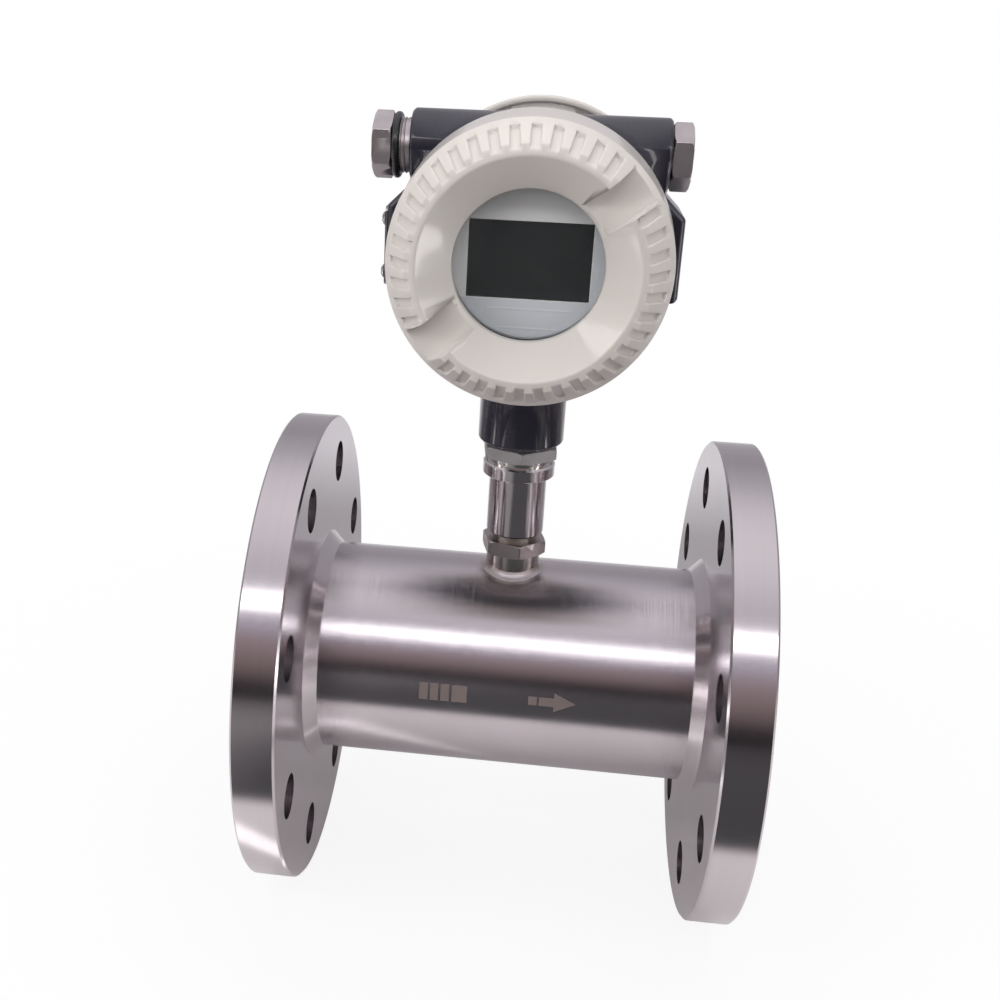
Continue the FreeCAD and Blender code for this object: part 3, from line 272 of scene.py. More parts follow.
bearing = abs(way_x.maths("ARCTAN2", 0 - way_y)) * (180 / math.pi)
gap_lamps = (1 - abs(bearing - 74).rising(2.0, 3.5)) * (way_z > 0) * (way_z < 0.62)
mirrored = air.between(gap_lamps, around, (5.0, 4.9, 4.9))
glossy = air.node("ShaderNodeLightPath", output="Is Glossy Ray")
to_camera = air.node("ShaderNodeLightPath", output="Is Camera Ray")
through = air.node("ShaderNodeLightPath", output="Is Transmission Ray")
even_light = air.between(glossy, (0.62, 0.62, 0.62), mirrored)
colour = air.between(to_camera.maths("MAXIMUM", through), even_light, (1.0, 1.0, 1.0))
backdrop = air.node("ShaderNodeBackground", None, {"Color": colour, "Strength": 1.0})
air.tree.links.new(backdrop.socket, air.tree.nodes["World Output"].inputs["Surface"])


def lamp(name, spot, aim, width, height, power):
    """A rectangular lamp at spot that shines towards aim."""
    data = bpy.data.lights.new(name, "AREA")
    data.shape = "RECTANGLE"
    data.size = width
    data.size_y = height
    data.energy = power
    holder = bpy.data.objects.new(name, data)
    holder.location = spot
    holder.rotation_euler = (Vector(aim) - Vector(spot)).to_track_quat("-Z", "Y").to_euler()
    bpy.context.collection.objects.link(holder)
    return holder


# Lamps: a long strip ahead and above that draws the bright line along the pipe, a
# soft box overhead, and a weak one from the left. Only the strip shows in the metal.
lamp("strip", (middle, -0.72, 0.68), (middle, 0, 0.03), 2.4, 0.12, 3.4)
lamp("overhead", (0.15, 0.15, 1.3), (middle, 0, 0.1), 1.2, 1.0, 6.0).visible_glossy = False
lamp("left_box", (-0.9, -0.75, 0.45), (middle, 0, 0.12), 0.5, 0.9, 4.0).visible_glossy = False


# Flanges: turned stainless discs. The faces carry fine concentric tool marks, the
# rims run round the pipe, and the raised gasket faces are serrated.
gasket_face = 0.0985
gasket_radius = 0.069
serration_pitch = 0.0008
flange_paint = Paint("flange_stainless", (0.62, 0.585, 0.605), 0.2, metallic=1.0)
place, x, y, z = flange_paint.spot()
radius = ((y * y) + (z * z)) ** 0.5
turning = flange_paint.rings(radius + x, 2600.0)
bands = flange_paint.rings(radius + x, 160.0)
smudges = flange_paint.cloud(place, 22.0)
near_face = 1 - (abs(x - middle) < gasket_face)
on_gasket = near_face * (radius < gasket_radius)
serration = wave(radius, serration_pitch) * on_gasket
flange_paint.feed("Base Color", flange_paint.between(
    smudges * 0.5 + bands * 0.3, (0.66, 0.62, 0.64), (0.55, 0.515, 0.53)))
flange_paint.feed("Roughness", turning * 0.12 + smudges * 0.08 + 0.07 + on_gasket * 0.12)
flange_paint.bumped(turning * 0.12 + serration, 0.00008, 0.6)
finish_node(flange_paint, "inlet_flange", "outlet_flange")


# Pipe body: polished tube, brushed round its girth. Four bars and, further along, an
# arrow that follows the flow are etched matt into the side that faces the viewer.
def lies_between(value, low, high):
    """1 where the value lies between low and high, and 0 elsewhere."""
    return (value > low) * (value < high)


pipe_radius = 0.0445
inside_limit = 0.0436
marks_rise = 0.0052
bar_half = 0.0036
shaft_half = 0.0018
arrow_start = 0.1212
arrow_tip = 0.1299
arrow_slope = 0.46
tube_paint = Paint("turned_stainless", (0.61, 0.575, 0.595), 0.16, metallic=1.0)
place, x, y, z = tube_paint.spot()
brushing = tube_paint.cloud(tube_paint.stretched(place, 60000.0, 16.0, 16.0), 1.0, 1.0, 0.5)
fine_rings = tube_paint.rings(x, 900.0)
smudges = tube_paint.cloud(place, 30.0)
girth = z.maths("ARCTAN2", 0 - y) * pipe_radius - marks_rise
marks = ((0.0670, 0.0705, bar_half), (0.0714, 0.0747, bar_half), (0.0757, 0.0791, bar_half),
         (0.0802, 0.0863, bar_half), (0.1110, 0.1144, shaft_half),
         (0.1152, arrow_start, shaft_half))
etching = lies_between(x, arrow_start, arrow_tip) * (abs(girth) < (arrow_tip - x) * arrow_slope)
for start, end, half in marks:
    etching = etching + lies_between(x, start, end) * (abs(girth) < half)
etching = etching * (y < 0)
outside = ((y * y) + (z * z)) > inside_limit ** 2
etching = etching * outside
heat = (((x - middle) ** 2) + (y + 0.004) ** 2) ** 0.5
blotches = tube_paint.cloud(place, 90.0).rising(0.35, 0.75)
tint = (1 - heat.rising(0.013, 0.027)) * (z > 0.03) * blotches
steel = tube_paint.between(smudges * 0.6, (0.64, 0.60, 0.625), (0.54, 0.505, 0.525))
tinted = tube_paint.between(tint * 0.5, steel, (0.46, 0.36, 0.27))
tube_paint.feed("Base Color", tube_paint.between(etching, tinted, (0.50, 0.43, 0.40)))
polish = brushing * 0.16 + smudges * 0.1 + 0.05
tube_paint.feed("Roughness", polish * (1 - etching) + etching * 0.62)
tube_paint.bumped(brushing + fine_rings * 0.5 - etching * 0.8, 0.00003, 0.55)
finish_node(tube_paint, "body_tube")

# Flow straighteners and retaining rings: machined vanes with milling marks along the
# flow, held by dark spring steel rings.
vane_paint = Paint("vane_stainless", (0.50, 0.50, 0.49), 0.3, metallic=1.0)
place, x, y, z = vane_paint.spot()
milling = vane_paint.cloud(vane_paint.stretched(place, 40.0, 2600.0, 2600.0), 1.0)
vane_paint.feed("Roughness", milling * 0.25 + 0.2)
vane_paint.feed("Base Color", vane_paint.between(
    milling, (0.55, 0.545, 0.535), (0.43, 0.43, 0.425)))
vane_paint.bumped(milling, 0.00004, 0.5)
finish_node(vane_paint, "inlet_straightener", "outlet_straightener")

spring_paint = Paint("spring_steel", (0.2, 0.2, 0.21), 0.4, metallic=1.0)
place, x, y, z = spring_paint.spot()
scale = spring_paint.cloud(place, 700.0)
spring_paint.feed("Base Color", spring_paint.between(scale, (0.14, 0.14, 0.15), (0.28, 0.28, 0.29)))
spring_paint.feed("Roughness", scale * 0.3 + 0.25)
spring_paint.bumped(scale, 0.00003, 0.4)
finish_node(spring_paint, "inlet_retaining_ring", "outlet_retaining_ring")

# Bearings and shaft: dark bushes of sintered carbide with a fine grain, and the bright
# ground pin that turns in them.
bush_paint = Paint("carbide_bush", (0.1, 0.1, 0.105), 0.3, metallic=0.9)
place, x, y, z = bush_paint.spot()
grains = bush_paint.cloud(place, 4500.0, 1.0)
bush_paint.feed("Base Color", bush_paint.between(grains, (0.07, 0.07, 0.075), (0.16, 0.16, 0.165)))
bush_paint.feed("Roughness", grains * 0.2 + 0.2)
bush_paint.bumped(grains, 0.00001, 0.5)
finish_node(bush_paint, "inlet_bearing", "outlet_bearing")

shaft_paint = Paint("ground_shaft", (0.75, 0.75, 0.75), 0.1, metallic=1.0)
place, x, y, z = shaft_paint.spot()
grinding = shaft_paint.rings(x, 7000.0)
shaft_paint.feed("Roughness", grinding * 0.12 + 0.05)
shaft_paint.feed("Base Color", shaft_paint.between(
    grinding, (0.78, 0.78, 0.78), (0.68, 0.68, 0.69)))
shaft_paint.bumped(grinding, 0.000008, 0.5)
finish_node(shaft_paint, "rotor_shaft")

# Rotor: a hub with eight twisted blades, milled from one piece, with cutter marks
# across the blades.
rotor_paint = Paint("rotor_stainless", (0.5, 0.5, 0.49), 0.28, metallic=1.0)
place, x, y, z = rotor_paint.spot()
radius = ((y * y) + (z * z)) ** 0.5
cutter = rotor_paint.rings(radius, 1500.0)
rotor_paint.feed("Roughness", cutter * 0.2 + 0.18)
rotor_paint.feed("Base Color", rotor_paint.between(
    cutter, (0.56, 0.555, 0.545), (0.46, 0.455, 0.45)))
rotor_paint.bumped(cutter, 0.00003, 0.5)
finish_node(rotor_paint, "turbine_rotor")

# Pickup boss: a turned spigot with tool marks round it. The heat of the weld has
# left its foot faintly brown.
boss_paint = Paint("boss_stainless", (0.56, 0.545, 0.53), 0.2, metallic=1.0)
place, x, y, z = boss_paint.spot()
turning = boss_paint.rings(z, 3800.0)
smudges = boss_paint.cloud(place, 160.0)
heated = 1 - z.rising(0.0468, 0.0505)
boss_paint.feed("Base Color", boss_paint.between(
    heated * smudges, (0.60, 0.585, 0.57), (0.44, 0.37, 0.30)))
boss_paint.feed("Roughness", turning * 0.16 + smudges * 0.14 + 0.08)
boss_paint.bumped(turning, 0.00003, 0.5)
finish_node(boss_paint, "sensor_boss")


# Weld: a fillet bead round the foot of the boss, laid on the curved pipe in short
# overlapping ripples, bright with a faint brown tint beside it.
def held(value):
    """The value, kept between 0 and 1."""
    return max(0.0, min(1.0, value))


boss_radius = 0.011
bead_leg = 0.0026
bead_belly = 0.0002
bead_steps = 8
sunk = 0.0003
ripple_height = 0.0001
ripples_round = 38
bead = bmesh.new()
profile = [bead.verts.new((boss_radius - sunk, 0, bead_leg))]
for step in range(1, bead_steps):
    turn = math.pi / 2 * step / bead_steps
    profile.append(bead.verts.new((
        boss_radius + bead_leg * (1 - math.cos(turn)) * 0.96,
        0,
        bead_leg * (1 - math.sin(turn)) + bead_belly * math.sin(2 * turn))))
profile.append(bead.verts.new((boss_radius + bead_leg + bead_belly, 0, -0.0004)))
profile.append(bead.verts.new((boss_radius - sunk, 0, -2 * sunk)))
edges = [bead.edges.new(pair) for pair in zip(profile, profile[1:] + profile[:1])]
bmesh.ops.spin(
    bead, geom=profile + edges, cent=(0, 0, 0), axis=(0, 0, 1), angle=2 * math.pi,
    steps=180, use_merge=True)
for vert in bead.verts:
    angle = math.atan2(vert.co.y, vert.co.x)
    outward = math.hypot(vert.co.x, vert.co.y) - boss_radius
    phase = ripples_round * angle + 9 * outward / bead_leg + 1.3 * math.sin(5 * angle)
    ripple = ripple_height * math.sin(phase)
    crown = held(outward / bead_leg) * held(vert.co.z / bead_leg + 0.5)
    vert.co.z += ripple * crown * 2
    vert.co.z += math.sqrt(pipe_radius ** 2 - vert.co.y ** 2)
bmesh.ops.translate(bead, vec=(middle, 0, 0), verts=bead.verts)
bmesh.ops.recalc_face_normals(bead, faces=bead.faces)
for face in bead.faces:
    face.smooth = True
bead_mesh = bpy.data.meshes.new("weld_ripples")
bead.to_mesh(bead_mesh)
bead.free()
weld_ripples = bpy.data.objects.new("weld_ripples", bead_mesh)
bpy.context.collection.objects.link(weld_ripples)
weld_paint = Paint("weld_metal", (0.55, 0.51, 0.50), 0.4, metallic=1.0)
place, x, y, z = weld_paint.spot()
scale = weld_paint.cloud(place, 420.0)
soot = weld_paint.cloud(place, 90.0)
weld_paint.feed("Base Color", weld_paint.between(
    soot.rising(0.45, 0.75), (0.60, 0.56, 0.565), (0.42, 0.36, 0.32)))
weld_paint.feed("Roughness", scale * 0.3 + 0.28)
weld_paint.bumped(scale, 0.00006, 0.5)
weld_ripples.data.materials.append(weld_paint.material)
finish_node(weld_paint, "boss_weld_bead")
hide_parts("boss_weld_bead")
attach(weld_ripples, "meter_body")


# Pickup, its lock nut, the sleeve and the threaded link of the neck: turned steel
# with tool marks that run round it. The nut shows a copy with rounded outward edges.
def turned_steel(name, light, dark, low, spread, marks):
    """Steel with tool marks that run round the neck."""
    paint = Paint(name, light, low, metallic=1.0)
    place, x, y, z = paint.spot()
    turning = paint.rings(z, marks)
    smudges = paint.cloud(place, 140.0)
    paint.feed("Base Color", paint.between(turning * 0.5 + smudges * 0.5, light, dark))
    paint.feed("Roughness", turning * spread + smudges * spread + low)
    paint.bumped(turning, 0.00002, 0.5)
    return paint


finish_node(turned_steel(
    "pickup_stainless", (0.50, 0.48, 0.44), (0.30, 0.28, 0.24), 0.16, 0.12, 5200.0), "pickup_body")
lock_nut_paint = turned_steel(
    "lock_nut_steel", (0.50, 0.46, 0.45), (0.36, 0.33, 0.32), 0.12, 0.12, 4200.0)
finish_node(lock_nut_paint, "pickup_lock_nut")


def roomy(edge, sharp, radius):
    """Tell whether an edge has room beside it for its rounding."""
    least_face = 2.2 * radius
    least_side = 1.5 * radius
    start = edge.verts[0].co
    way = (edge.verts[1].co - start).normalized()
    for face in edge.link_faces:
        if max(way.cross(corner.co - start).length for corner in face.verts) < least_face:
            return False
    for corner in edge.verts:
        for other in corner.link_edges:
            side = other.verts[1].co - other.verts[0].co
            if other not in sharp and side.length < least_face:
                return False
            if side.length < least_side and abs(way.dot(side.normalized())) < 0.9:
                return False
    return True


def softened(node, body, paint, radius, least_angle):
    """Stand a copy in for a CAD piece, with its sharp outward edges rounded."""
    work = bmesh.new()
    work.from_mesh(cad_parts[node].data)
    bmesh.ops.remove_doubles(work, verts=work.verts, dist=0.00001)
    bmesh.ops.dissolve_limit(
        work, angle_limit=math.radians(0.6), verts=work.verts, edges=work.edges)
    sharp = {
        edge for edge in work.edges
        if edge.is_convex and edge.calc_face_angle(0) > math.radians(least_angle)}
    picked = [edge for edge in work.edges if edge in sharp and roomy(edge, sharp, radius)]
    bmesh.ops.bevel(
        work, geom=picked, offset=radius, offset_type="OFFSET", segments=2, profile=0.5,
        affect="EDGES", material=-1)
    bmesh.ops.recalc_face_normals(work, faces=work.faces)
    for face in work.faces:
        face.smooth = True
    mesh = bpy.data.meshes.new(node + "_cast")
    work.to_mesh(mesh)
    work.free()
    mesh.materials.append(paint.material)
    piece = bpy.data.objects.new(node + "_cast", mesh)
    bpy.context.collection.objects.link(piece)
    shading = piece.modifiers.new("even_shading", "WEIGHTED_NORMAL")
    shading.keep_sharp = True
    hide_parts(node)
    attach(piece, body)


softened("pickup_lock_nut", "meter_body", lock_nut_paint, 0.00025, 25)
finish_node(turned_steel(
    "polished_steel", (0.74, 0.71, 0.71), (0.66, 0.63, 0.635), 0.02, 0.03, 5200.0), "neck_sleeve")
finish_node(turned_steel(
    "connector_steel", (0.70, 0.69, 0.67), (0.60, 0.59, 0.57), 0.06, 0.08, 5200.0),
    "neck_connector")

# Upper lock nut: left as cut, so it is matt and grey with a coarse grain. Its outward
# edges are rounded in the same way.
rough_nut = Paint("rough_nut_steel", (0.42, 0.42, 0.42), 0.5, metallic=0.85)
place, x, y, z = rough_nut.spot()
grain = rough_nut.cloud(place, 900.0, 4.0, 0.7)
rough_nut.feed("Base Color", rough_nut.between(grain, (0.36, 0.36, 0.36), (0.62, 0.61, 0.61)))
rough_nut.feed("Roughness", grain * 0.3 + 0.35)
rough_nut.bumped(grain, 0.00012, 0.7)
finish_node(rough_nut, "head_lock_nut")
softened("head_lock_nut", "meter_body", rough_nut, 0.0003, 25)

# Magnet, coil and lead of the pickup: plated slug, enamelled copper wire laid turn
# on turn, and a soft black jacket.
magnet_paint = Paint("magnet_plating", (0.62, 0.61, 0.60), 0.22, metallic=1.0)
place, x, y, z = magnet_paint.spot()
plating = magnet_paint.cloud(place, 600.0)
magnet_paint.feed("Roughness", plating * 0.2 + 0.12)
magnet_paint.feed("Base Color", magnet_paint.between(
    plating, (0.66, 0.65, 0.63), (0.55, 0.54, 0.53)))
finish_node(magnet_paint, "pickup_magnet")

wire_pitch = 0.0003
coil_paint = Paint("copper_winding", (0.6, 0.25, 0.1), 0.3, metallic=0.9)
place, x, y, z = coil_paint.spot()
wire_turns_and_groove_shade = wave(z, wire_pitch)
# The copper is painted dark in the grooves between the turns and full copper on their crests:
# painted shade in the grooves.
coil_paint.feed("Base Color", coil_paint.between(wire_turns_and_groove_shade, (0.30, 0.10, 0.04), (0.72, 0.33, 0.15)))
coil_paint.feed("Roughness", 0.45 - wire_turns_and_groove_shade * 0.2)
coil_paint.bumped(wire_turns_and_groove_shade, 0.0001, 0.8)
finish_node(coil_paint, "pickup_coil")

jacket_paint = Paint("lead_jacket", (0.02, 0.02, 0.02), 0.5)
place, x, y, z = jacket_paint.spot()
grain = jacket_paint.cloud(place, 2200.0)
jacket_paint.feed("Roughness", grain * 0.25 + 0.38)
jacket_paint.feed("Base Color", jacket_paint.between(
    grain, (0.015, 0.015, 0.016), (0.035, 0.035, 0.036)))
jacket_paint.bumped(grain, 0.00003, 0.6)
finish_node(jacket_paint, "pickup_lead")

# Housing: an aluminium casting in glossy dark blue-grey enamel. The enamel is a
# little wavy, and the necks for the covers show their machined thread.
drum_height = 0.18205
neck_start = 0.0385
neck_inside = 0.0425
neck_outside = 0.0453
cover_pitch = 0.002
housing_paint = Paint(
    "dark_enamel", (0.025, 0.024, 0.036), 0.3, coat_weight=0.7, coat_roughness=0.06)
housing_paint.shader.inputs["Specular IOR Level"].default_value = 0.25
place, x, y, z = housing_paint.spot()
waves = housing_paint.cloud(place, 420.0, 2.0, 0.4)
grain = housing_paint.cloud(place, 2400.0, 2.0)
from_axis = (((x - middle) ** 2) + ((z - drum_height) ** 2)) ** 0.5
bare_neck = (abs(y) > neck_start) * (from_axis < neck_outside) * (from_axis > neck_inside)
thread = wave(y, cover_pitch) * bare_neck
dust = housing_paint.cloud(place, 60.0).rising(0.5, 0.8)
enamel = housing_paint.between(
    dust * 0.4 + grain * 0.12, (0.022, 0.021, 0.032), (0.040, 0.039, 0.052))
housing_paint.feed("Base Color", housing_paint.between(bare_neck, enamel, (0.55, 0.55, 0.56)))
housing_paint.feed("Metallic", bare_neck)
housing_paint.feed("Roughness", waves * 0.1 + dust * 0.08 + 0.2 + bare_neck * 0.1)
housing_paint.bumped(waves * 0.12 + grain * 0.02 + thread * 3.0, 0.00025, 0.6)
finish_node(housing_paint, "housing_shell")
softened("housing_shell", "head", housing_paint, 0.0004, 30)

# Circuit boards, posts and terminals inside the head: green boards with tracks and
# tinned pads, brass posts, a moulded terminal block and plated slotted screws.
board_paint = Paint("circuit_board", (0.02, 0.12, 0.05), 0.35)
place, x, y, z = board_paint.spot()
cells = board_paint.node("ShaderNodeTexVoronoi", {"distance": "CHEBYCHEV"}, {
    "Vector": place, "Scale": 260.0}, "Distance")
tracks = board_paint.node("ShaderNodeTexVoronoi", {"feature": "DISTANCE_TO_EDGE"}, {
    "Vector": place, "Scale": 120.0}, "Distance")
pads = cells < 0.12
lines = tracks < 0.05
mask = board_paint.between(lines, (0.012, 0.10, 0.04), (0.03, 0.17, 0.07))
board_paint.feed("Base Color", board_paint.between(pads, mask, (0.62, 0.6, 0.55)))
board_paint.feed("Metallic", pads)
board_paint.feed("Roughness", 0.42 - pads * 0.15 - lines * 0.06)
board_paint.bumped(pads * 0.6 + lines * 0.3, 0.00006, 0.7)
finish_node(board_paint, "main_board", "display_board")

post_paint = Paint("post_brass", (0.62, 0.43, 0.16), 0.25, metallic=1.0)
place, x, y, z = post_paint.spot()
turning = post_paint.rings(y, 4200.0)
post_paint.feed("Roughness", turning * 0.2 + 0.15)
post_paint.feed("Base Color", post_paint.between(turning, (0.68, 0.48, 0.19), (0.52, 0.36, 0.13)))
post_paint.bumped(turning, 0.00003, 0.5)
finish_node(post_paint, "board_standoffs", "display_posts")

terminal_step = 0.0072
block_paint = Paint("terminal_plastic", (0.02, 0.11, 0.04), 0.45)
place, x, y, z = block_paint.spot()
grain = block_paint.cloud(place, 1800.0)
# The block is painted darker green in its sunk grooves: painted shade.
shaded_grooves = ((x - middle) * (2 * math.pi / terminal_step)).maths("COSINE") < -0.93
block_paint.feed("Base Color", block_paint.between(shaded_grooves, (0.02, 0.12, 0.045), (0.008, 0.05, 0.02)))
block_paint.feed("Roughness", grain * 0.2 + 0.36)
block_paint.bumped(grain * 0.1 - shaded_grooves, 0.0004, 0.6)
finish_node(block_paint, "terminal_block")

screw_row = drum_height + 0.006
slot_paint = Paint("plated_screw", (0.6, 0.6, 0.58), 0.25, metallic=1.0)
place, x, y, z = slot_paint.spot()
shaded_slots = abs(z - screw_row) < 0.0004
plating = slot_paint.cloud(place, 900.0)
# The screw slots are painted near black: painted shade inside the slots.
slot_paint.feed("Base Color", slot_paint.between(shaded_slots, (0.62, 0.61, 0.58), (0.07, 0.07, 0.07)))
slot_paint.feed("Roughness", plating * 0.2 + 0.15 + shaded_slots * 0.3)
slot_paint.bumped(plating * 0.05 - shaded_slots, 0.0005, 0.7)
finish_node(slot_paint, "terminal_screws")

# Dial plate and display: a matt blue-grey film, with a pale painted highlight round the dark
# display for the lit right and bottom edges of the bezel, and a shallow blank panel pressed in
# below it.
panel_centre = (middle + 0.0006, drum_height - 0.0205)
panel_half = (0.0148, 0.0034)
frame_foot = 0.00795
dial_paint = Paint("dial_film", (0.74, 0.76, 0.80), 0.45)
place, x, y, z = dial_paint.spot()
grain = dial_paint.cloud(place, 2600.0)
# Pale up to the display's right and bottom edges: a painted highlight for the lit edges of the
# bezel.
painted_edge_highlight = 1 - (x - middle).maths(
    "MAXIMUM", drum_height - z + frame_foot).rising(0.0216, 0.0219)
panel_edge = abs((abs(x - panel_centre[0]) - panel_half[0]).maths(
    "MAXIMUM", abs(z - panel_centre[1]) - panel_half[1]))
panel_line = 1 - panel_edge.rising(0.0001, 0.00045)
face = dial_paint.between(grain * 0.5, (0.72, 0.745, 0.79), (0.78, 0.80, 0.84))
face = dial_paint.between(panel_line * 0.25, face, (0.86, 0.88, 0.90))
dial_paint.feed("Base Color", dial_paint.between(painted_edge_highlight, face, (0.90, 0.90, 0.90)))
dial_paint.feed("Roughness", grain * 0.15 + 0.38)
dial_paint.bumped(grain * 0.05 + panel_line, 0.00015, 0.6)
finish_node(dial_paint, "display_bezel")

cell_width = 0.0011
display_paint = Paint(
    "display_face", (0.024, 0.028, 0.028), 0.16, coat_weight=0.7, coat_roughness=0.04)
place, x, y, z = display_paint.spot()
cells_x = wave(x, cell_width) > 0.93
cells_z = wave(z, cell_width) > 0.93
pixels = cells_x.maths("MAXIMUM", cells_z)
bloom = display_paint.cloud(place, 40.0)
glass_colour = display_paint.between(bloom, (0.026, 0.030, 0.030), (0.040, 0.046, 0.045))
display_paint.feed("Base Color", display_paint.between(
    pixels * 0.25, glass_colour, (0.012, 0.014, 0.014)))
display_paint.feed("Roughness", pixels * 0.05 + bloom * 0.08 + 0.12)
finish_node(display_paint, "lcd_panel")

# Window: clear toughened glass between a black gasket and an anodised ring. It shows
# hardly anything of itself except where it is seen edge on.
glass_paint = Paint("window_glass", (0.92, 0.95, 0.95), 0.03, metallic=1.0)
edge_on = glass_paint.node("ShaderNodeLayerWeight", None, {"Blend": 0.5}, "Facing")
place, x, y, z = glass_paint.spot()
film = glass_paint.cloud(place, 35.0)
glass_paint.feed("Alpha", (edge_on ** 5) * 0.95 + film * 0.01 + 0.035)
glass_paint.feed("Roughness", film * 0.03 + 0.005)
glass_paint.material.surface_render_method = "BLENDED"
finish_node(glass_paint, "window_glass")

ring_paint = Paint("retainer_aluminium", (0.34, 0.34, 0.35), 0.4, metallic=1.0)
place, x, y, z = ring_paint.spot()
radius = (((x - middle) ** 2) + ((z - drum_height) ** 2)) ** 0.5
turning = ring_paint.rings(radius, 3400.0)
ring_paint.feed("Roughness", turning * 0.2 + 0.28)
ring_paint.feed("Base Color", ring_paint.between(turning, (0.38, 0.38, 0.39), (0.28, 0.28, 0.29)))
ring_paint.bumped(turning, 0.00002, 0.5)
finish_node(ring_paint, "glass_retainer")

# Covers: cast aluminium in glossy cream enamel that has flowed softly over the
# rounded teeth. It has faint waves and a few tiny pits.
cover_paint = Paint(
    "cream_enamel", (0.70, 0.655, 0.615), 0.3, coat_weight=0.55, coat_roughness=0.05)
place, x, y, z = cover_paint.spot()
waves = cover_paint.cloud(place, 300.0, 2.0, 0.4)
fine = cover_paint.cloud(place, 1700.0, 2.0)
tone = cover_paint.cloud(place, 26.0)
specks = cover_paint.node(
    "ShaderNodeTexVoronoi", None, {"Vector": place, "Scale": 190.0}, "Distance")
pits = (specks < 0.05) * (cover_paint.cloud(place, 47.0) > 0.72)
cream = cover_paint.between(tone, (0.73, 0.685, 0.645), (0.66, 0.615, 0.58))
cover_paint.feed("Base Color", cover_paint.between(pits, cream, (0.22, 0.19, 0.16)))
cover_paint.feed("Roughness", waves * 0.1 + fine * 0.04 + 0.26)
cover_paint.bumped(waves * 0.1 + fine * 0.01 - pits * 0.6, 0.00025, 0.5)
finish_node(cover_paint, "front_cover", "rear_cover")
softened("front_cover", "front_cover", cover_paint, 0.0005, 28)
softened("rear_cover", "rear_cover", cover_paint, 0.0005, 28)

# Sealing rings and gasket: moulded black rubber with a soft gloss that a thin bloom
# makes uneven.
rubber_paint = Paint(
    "black_rubber", (0.012, 0.012, 0.013), 0.28, coat_weight=0.3, coat_roughness=0.15)
place, x, y, z = rubber_paint.spot()
bloom = rubber_paint.cloud(place, 500.0)
rubber_paint.feed("Roughness", bloom * 0.25 + 0.16)
rubber_paint.feed("Base Color", rubber_paint.between(
    bloom, (0.010, 0.010, 0.011), (0.022, 0.022, 0.023)))
rubber_paint.bumped(bloom, 0.00004, 0.4)
finish_node(
    rubber_paint, "front_cover_oring", "rear_cover_oring", "left_plug_oring",
    "right_plug_oring", "window_gasket")

# Plugs: hexagon blanking plugs in dull nickel plate. The left one is only partly
# screwed in, so its thread shows behind the sealing ring, as a ridge of three turns.
plug_paint = Paint("nickel_plate", (0.60, 0.56, 0.57), 0.36, metallic=1.0)
place, x, y, z = plug_paint.spot()
grain = plug_paint.cloud(place, 1300.0, 4.0, 0.65)
wear = plug_paint.cloud(place, 120.0)
plug_paint.feed("Base Color", plug_paint.between(wear, (0.68, 0.635, 0.65), (0.50, 0.46, 0.46)))
plug_paint.feed("Roughness", grain * 0.22 + wear * 0.14 + 0.2)
plug_paint.bumped(grain, 0.00006, 0.5)
finish_node(plug_paint, "left_plug", "right_plug")
softened("left_plug", "head", plug_paint, 0.0003, 25)
softened("right_plug", "head", plug_paint, 0.0003, 25)

barrel_height = drum_height + 0.032
thread_start = 0.0462
thread_pitch = 0.0015
thread_root = 0.00998 - 0.0004
thread_crest = 0.00998 + 0.00035
root_half = 0.00062
crest_half = 0.0001
turns = 3
steps_a_turn = 72
ridge = bmesh.new()
corners = [(thread_root, -root_half), (thread_crest, -crest_half),
           (thread_crest, crest_half), (thread_root, root_half)]
outline = [ridge.verts.new((along, 0, out)) for out, along in corners]
edges = [ridge.edges.new(pair) for pair in zip(outline, outline[1:] + outline[:1])]
bmesh.ops.spin(
    ridge, geom=outline + edges, cent=(0, 0, 0), axis=(1, 0, 0), angle=2 * math.pi * turns,
    steps=steps_a_turn * turns, dvec=(thread_pitch / steps_a_turn, 0, 0), use_merge=False)
bmesh.ops.holes_fill(ridge, edges=[edge for edge in ridge.edges if edge.is_boundary], sides=4)
bmesh.ops.translate(ridge, vec=(thread_start, 0, barrel_height), verts=ridge.verts)
bmesh.ops.recalc_face_normals(ridge, faces=ridge.faces)
ridge_mesh = bpy.data.meshes.new("plug_thread")
ridge.to_mesh(ridge_mesh)
ridge.free()
plug_thread = bpy.data.objects.new("plug_thread", ridge_mesh)
bpy.context.collection.objects.link(plug_thread)
plug_thread.data.materials.append(plug_paint.material)
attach(plug_thread, "head")

# Name plate: a bare brushed sheet with nothing on it, held on the left side pad by
# four screws.
plate_paint = Paint("bare_plate", (0.55, 0.54, 0.53), 0.3, metallic=1.0)
place, x, y, z = plate_paint.spot()
brushing = plate_paint.cloud(plate_paint.stretched(place, 1.0, 30.0, 4200.0), 1.0, 2.0)
plate_paint.feed("Roughness", brushing * 0.2 + 0.2)
plate_paint.feed("Base Color", plate_paint.between(
    brushing, (0.60, 0.59, 0.575), (0.47, 0.46, 0.455)))
plate_paint.bumped(brushing, 0.00002, 0.5)
finish_node(plate_paint, "nameplate")

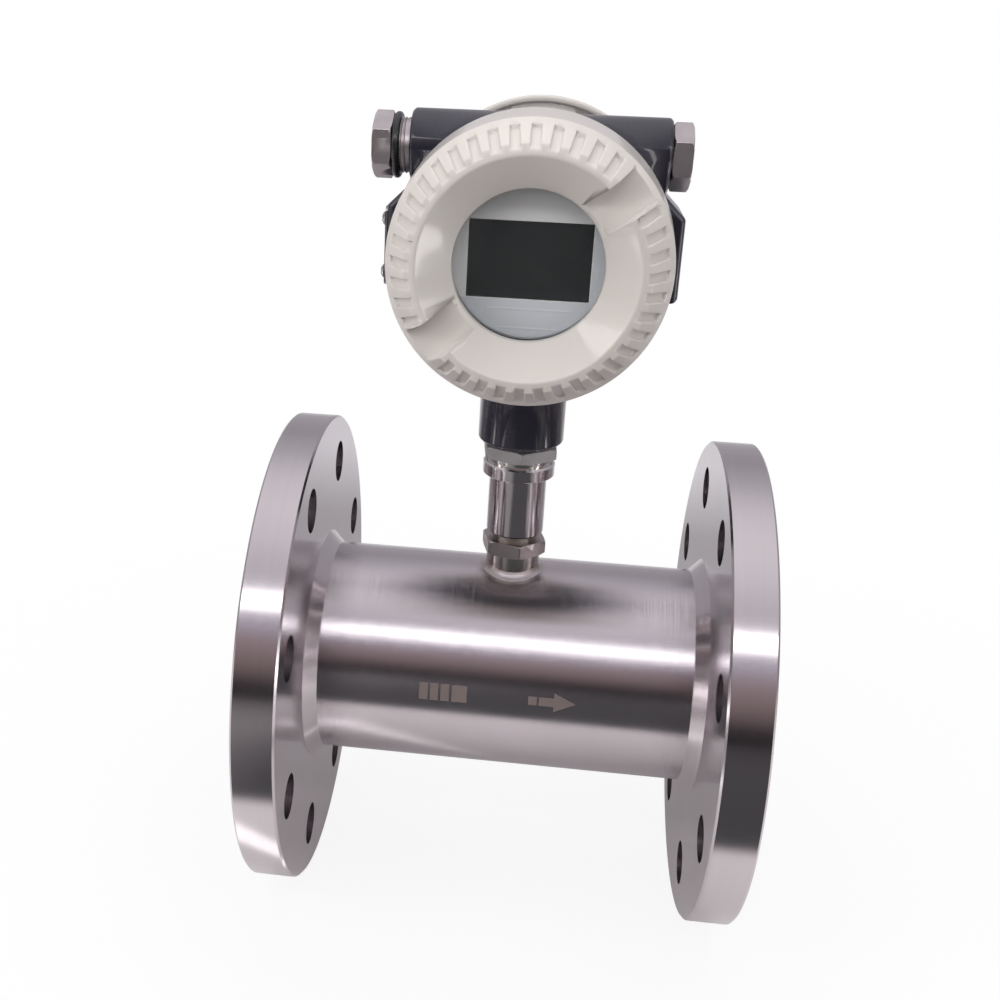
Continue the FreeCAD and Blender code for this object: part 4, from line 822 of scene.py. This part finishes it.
# Plate screws: small domed heads with a cross recess, pressed down on the plate. Each
# is a round grid of radius 1 that is raised to a dome and sunk along its two arms.
plate_centre = drum_height - 0.004
pad_reach = 0.055
plate_thickness = 0.0008
plate_face = middle - pad_reach - plate_thickness
head_radius = 0.0026
head_rise = 0.0017
head_grid = 24
recess_depth = 0.75
arm_half = 0.14
arm_end = 0.62
heads = bmesh.new()
for side in (-0.012, 0.012):
    for rise in (-0.01, 0.01):
        made = bmesh.ops.create_grid(
            heads, x_segments=head_grid, y_segments=head_grid, size=1.0)["verts"]
        for vert in made:
            square = max(abs(vert.co.x), abs(vert.co.y))
            length = math.hypot(vert.co.x, vert.co.y) or 1.0
            flat = Vector((vert.co.x / length * square, vert.co.y / length * square))
            dome = math.sqrt(max(0.0, 1 - 0.93 * flat.length_squared))
            along = max(abs(flat.x), abs(flat.y))
            aside = min(abs(flat.x), abs(flat.y))
            sink = recess_depth * held((arm_half - aside) / 0.05) * held((arm_end - along) / 0.08)
            vert.co = (-(dome - sink) * head_rise, flat.x * head_radius, flat.y * head_radius)
        bmesh.ops.translate(heads, vec=(plate_face, side, plate_centre + rise), verts=made)
bmesh.ops.recalc_face_normals(heads, faces=heads.faces)
for face in heads.faces:
    face.smooth = True
    if face.normal.x > 0:
        face.normal_flip()
heads_mesh = bpy.data.meshes.new("screw_domes")
heads.to_mesh(heads_mesh)
heads.free()
screw_domes = bpy.data.objects.new("screw_domes", heads_mesh)
bpy.context.collection.objects.link(screw_domes)
screw_paint = Paint("plate_screw", (0.58, 0.57, 0.55), 0.25, metallic=1.0)
place, x, y, z = screw_paint.spot()
plating = screw_paint.cloud(place, 1200.0)
screw_paint.feed("Roughness", plating * 0.2 + 0.14)
screw_paint.feed("Base Color", screw_paint.between(plating, (0.62, 0.61, 0.59), (0.48, 0.47, 0.46)))
screw_paint.bumped(plating, 0.00002, 0.4)
screw_domes.data.materials.append(screw_paint.material)
finish_node(screw_paint, "nameplate_screws")
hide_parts("nameplate_screws")
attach(screw_domes, "head")
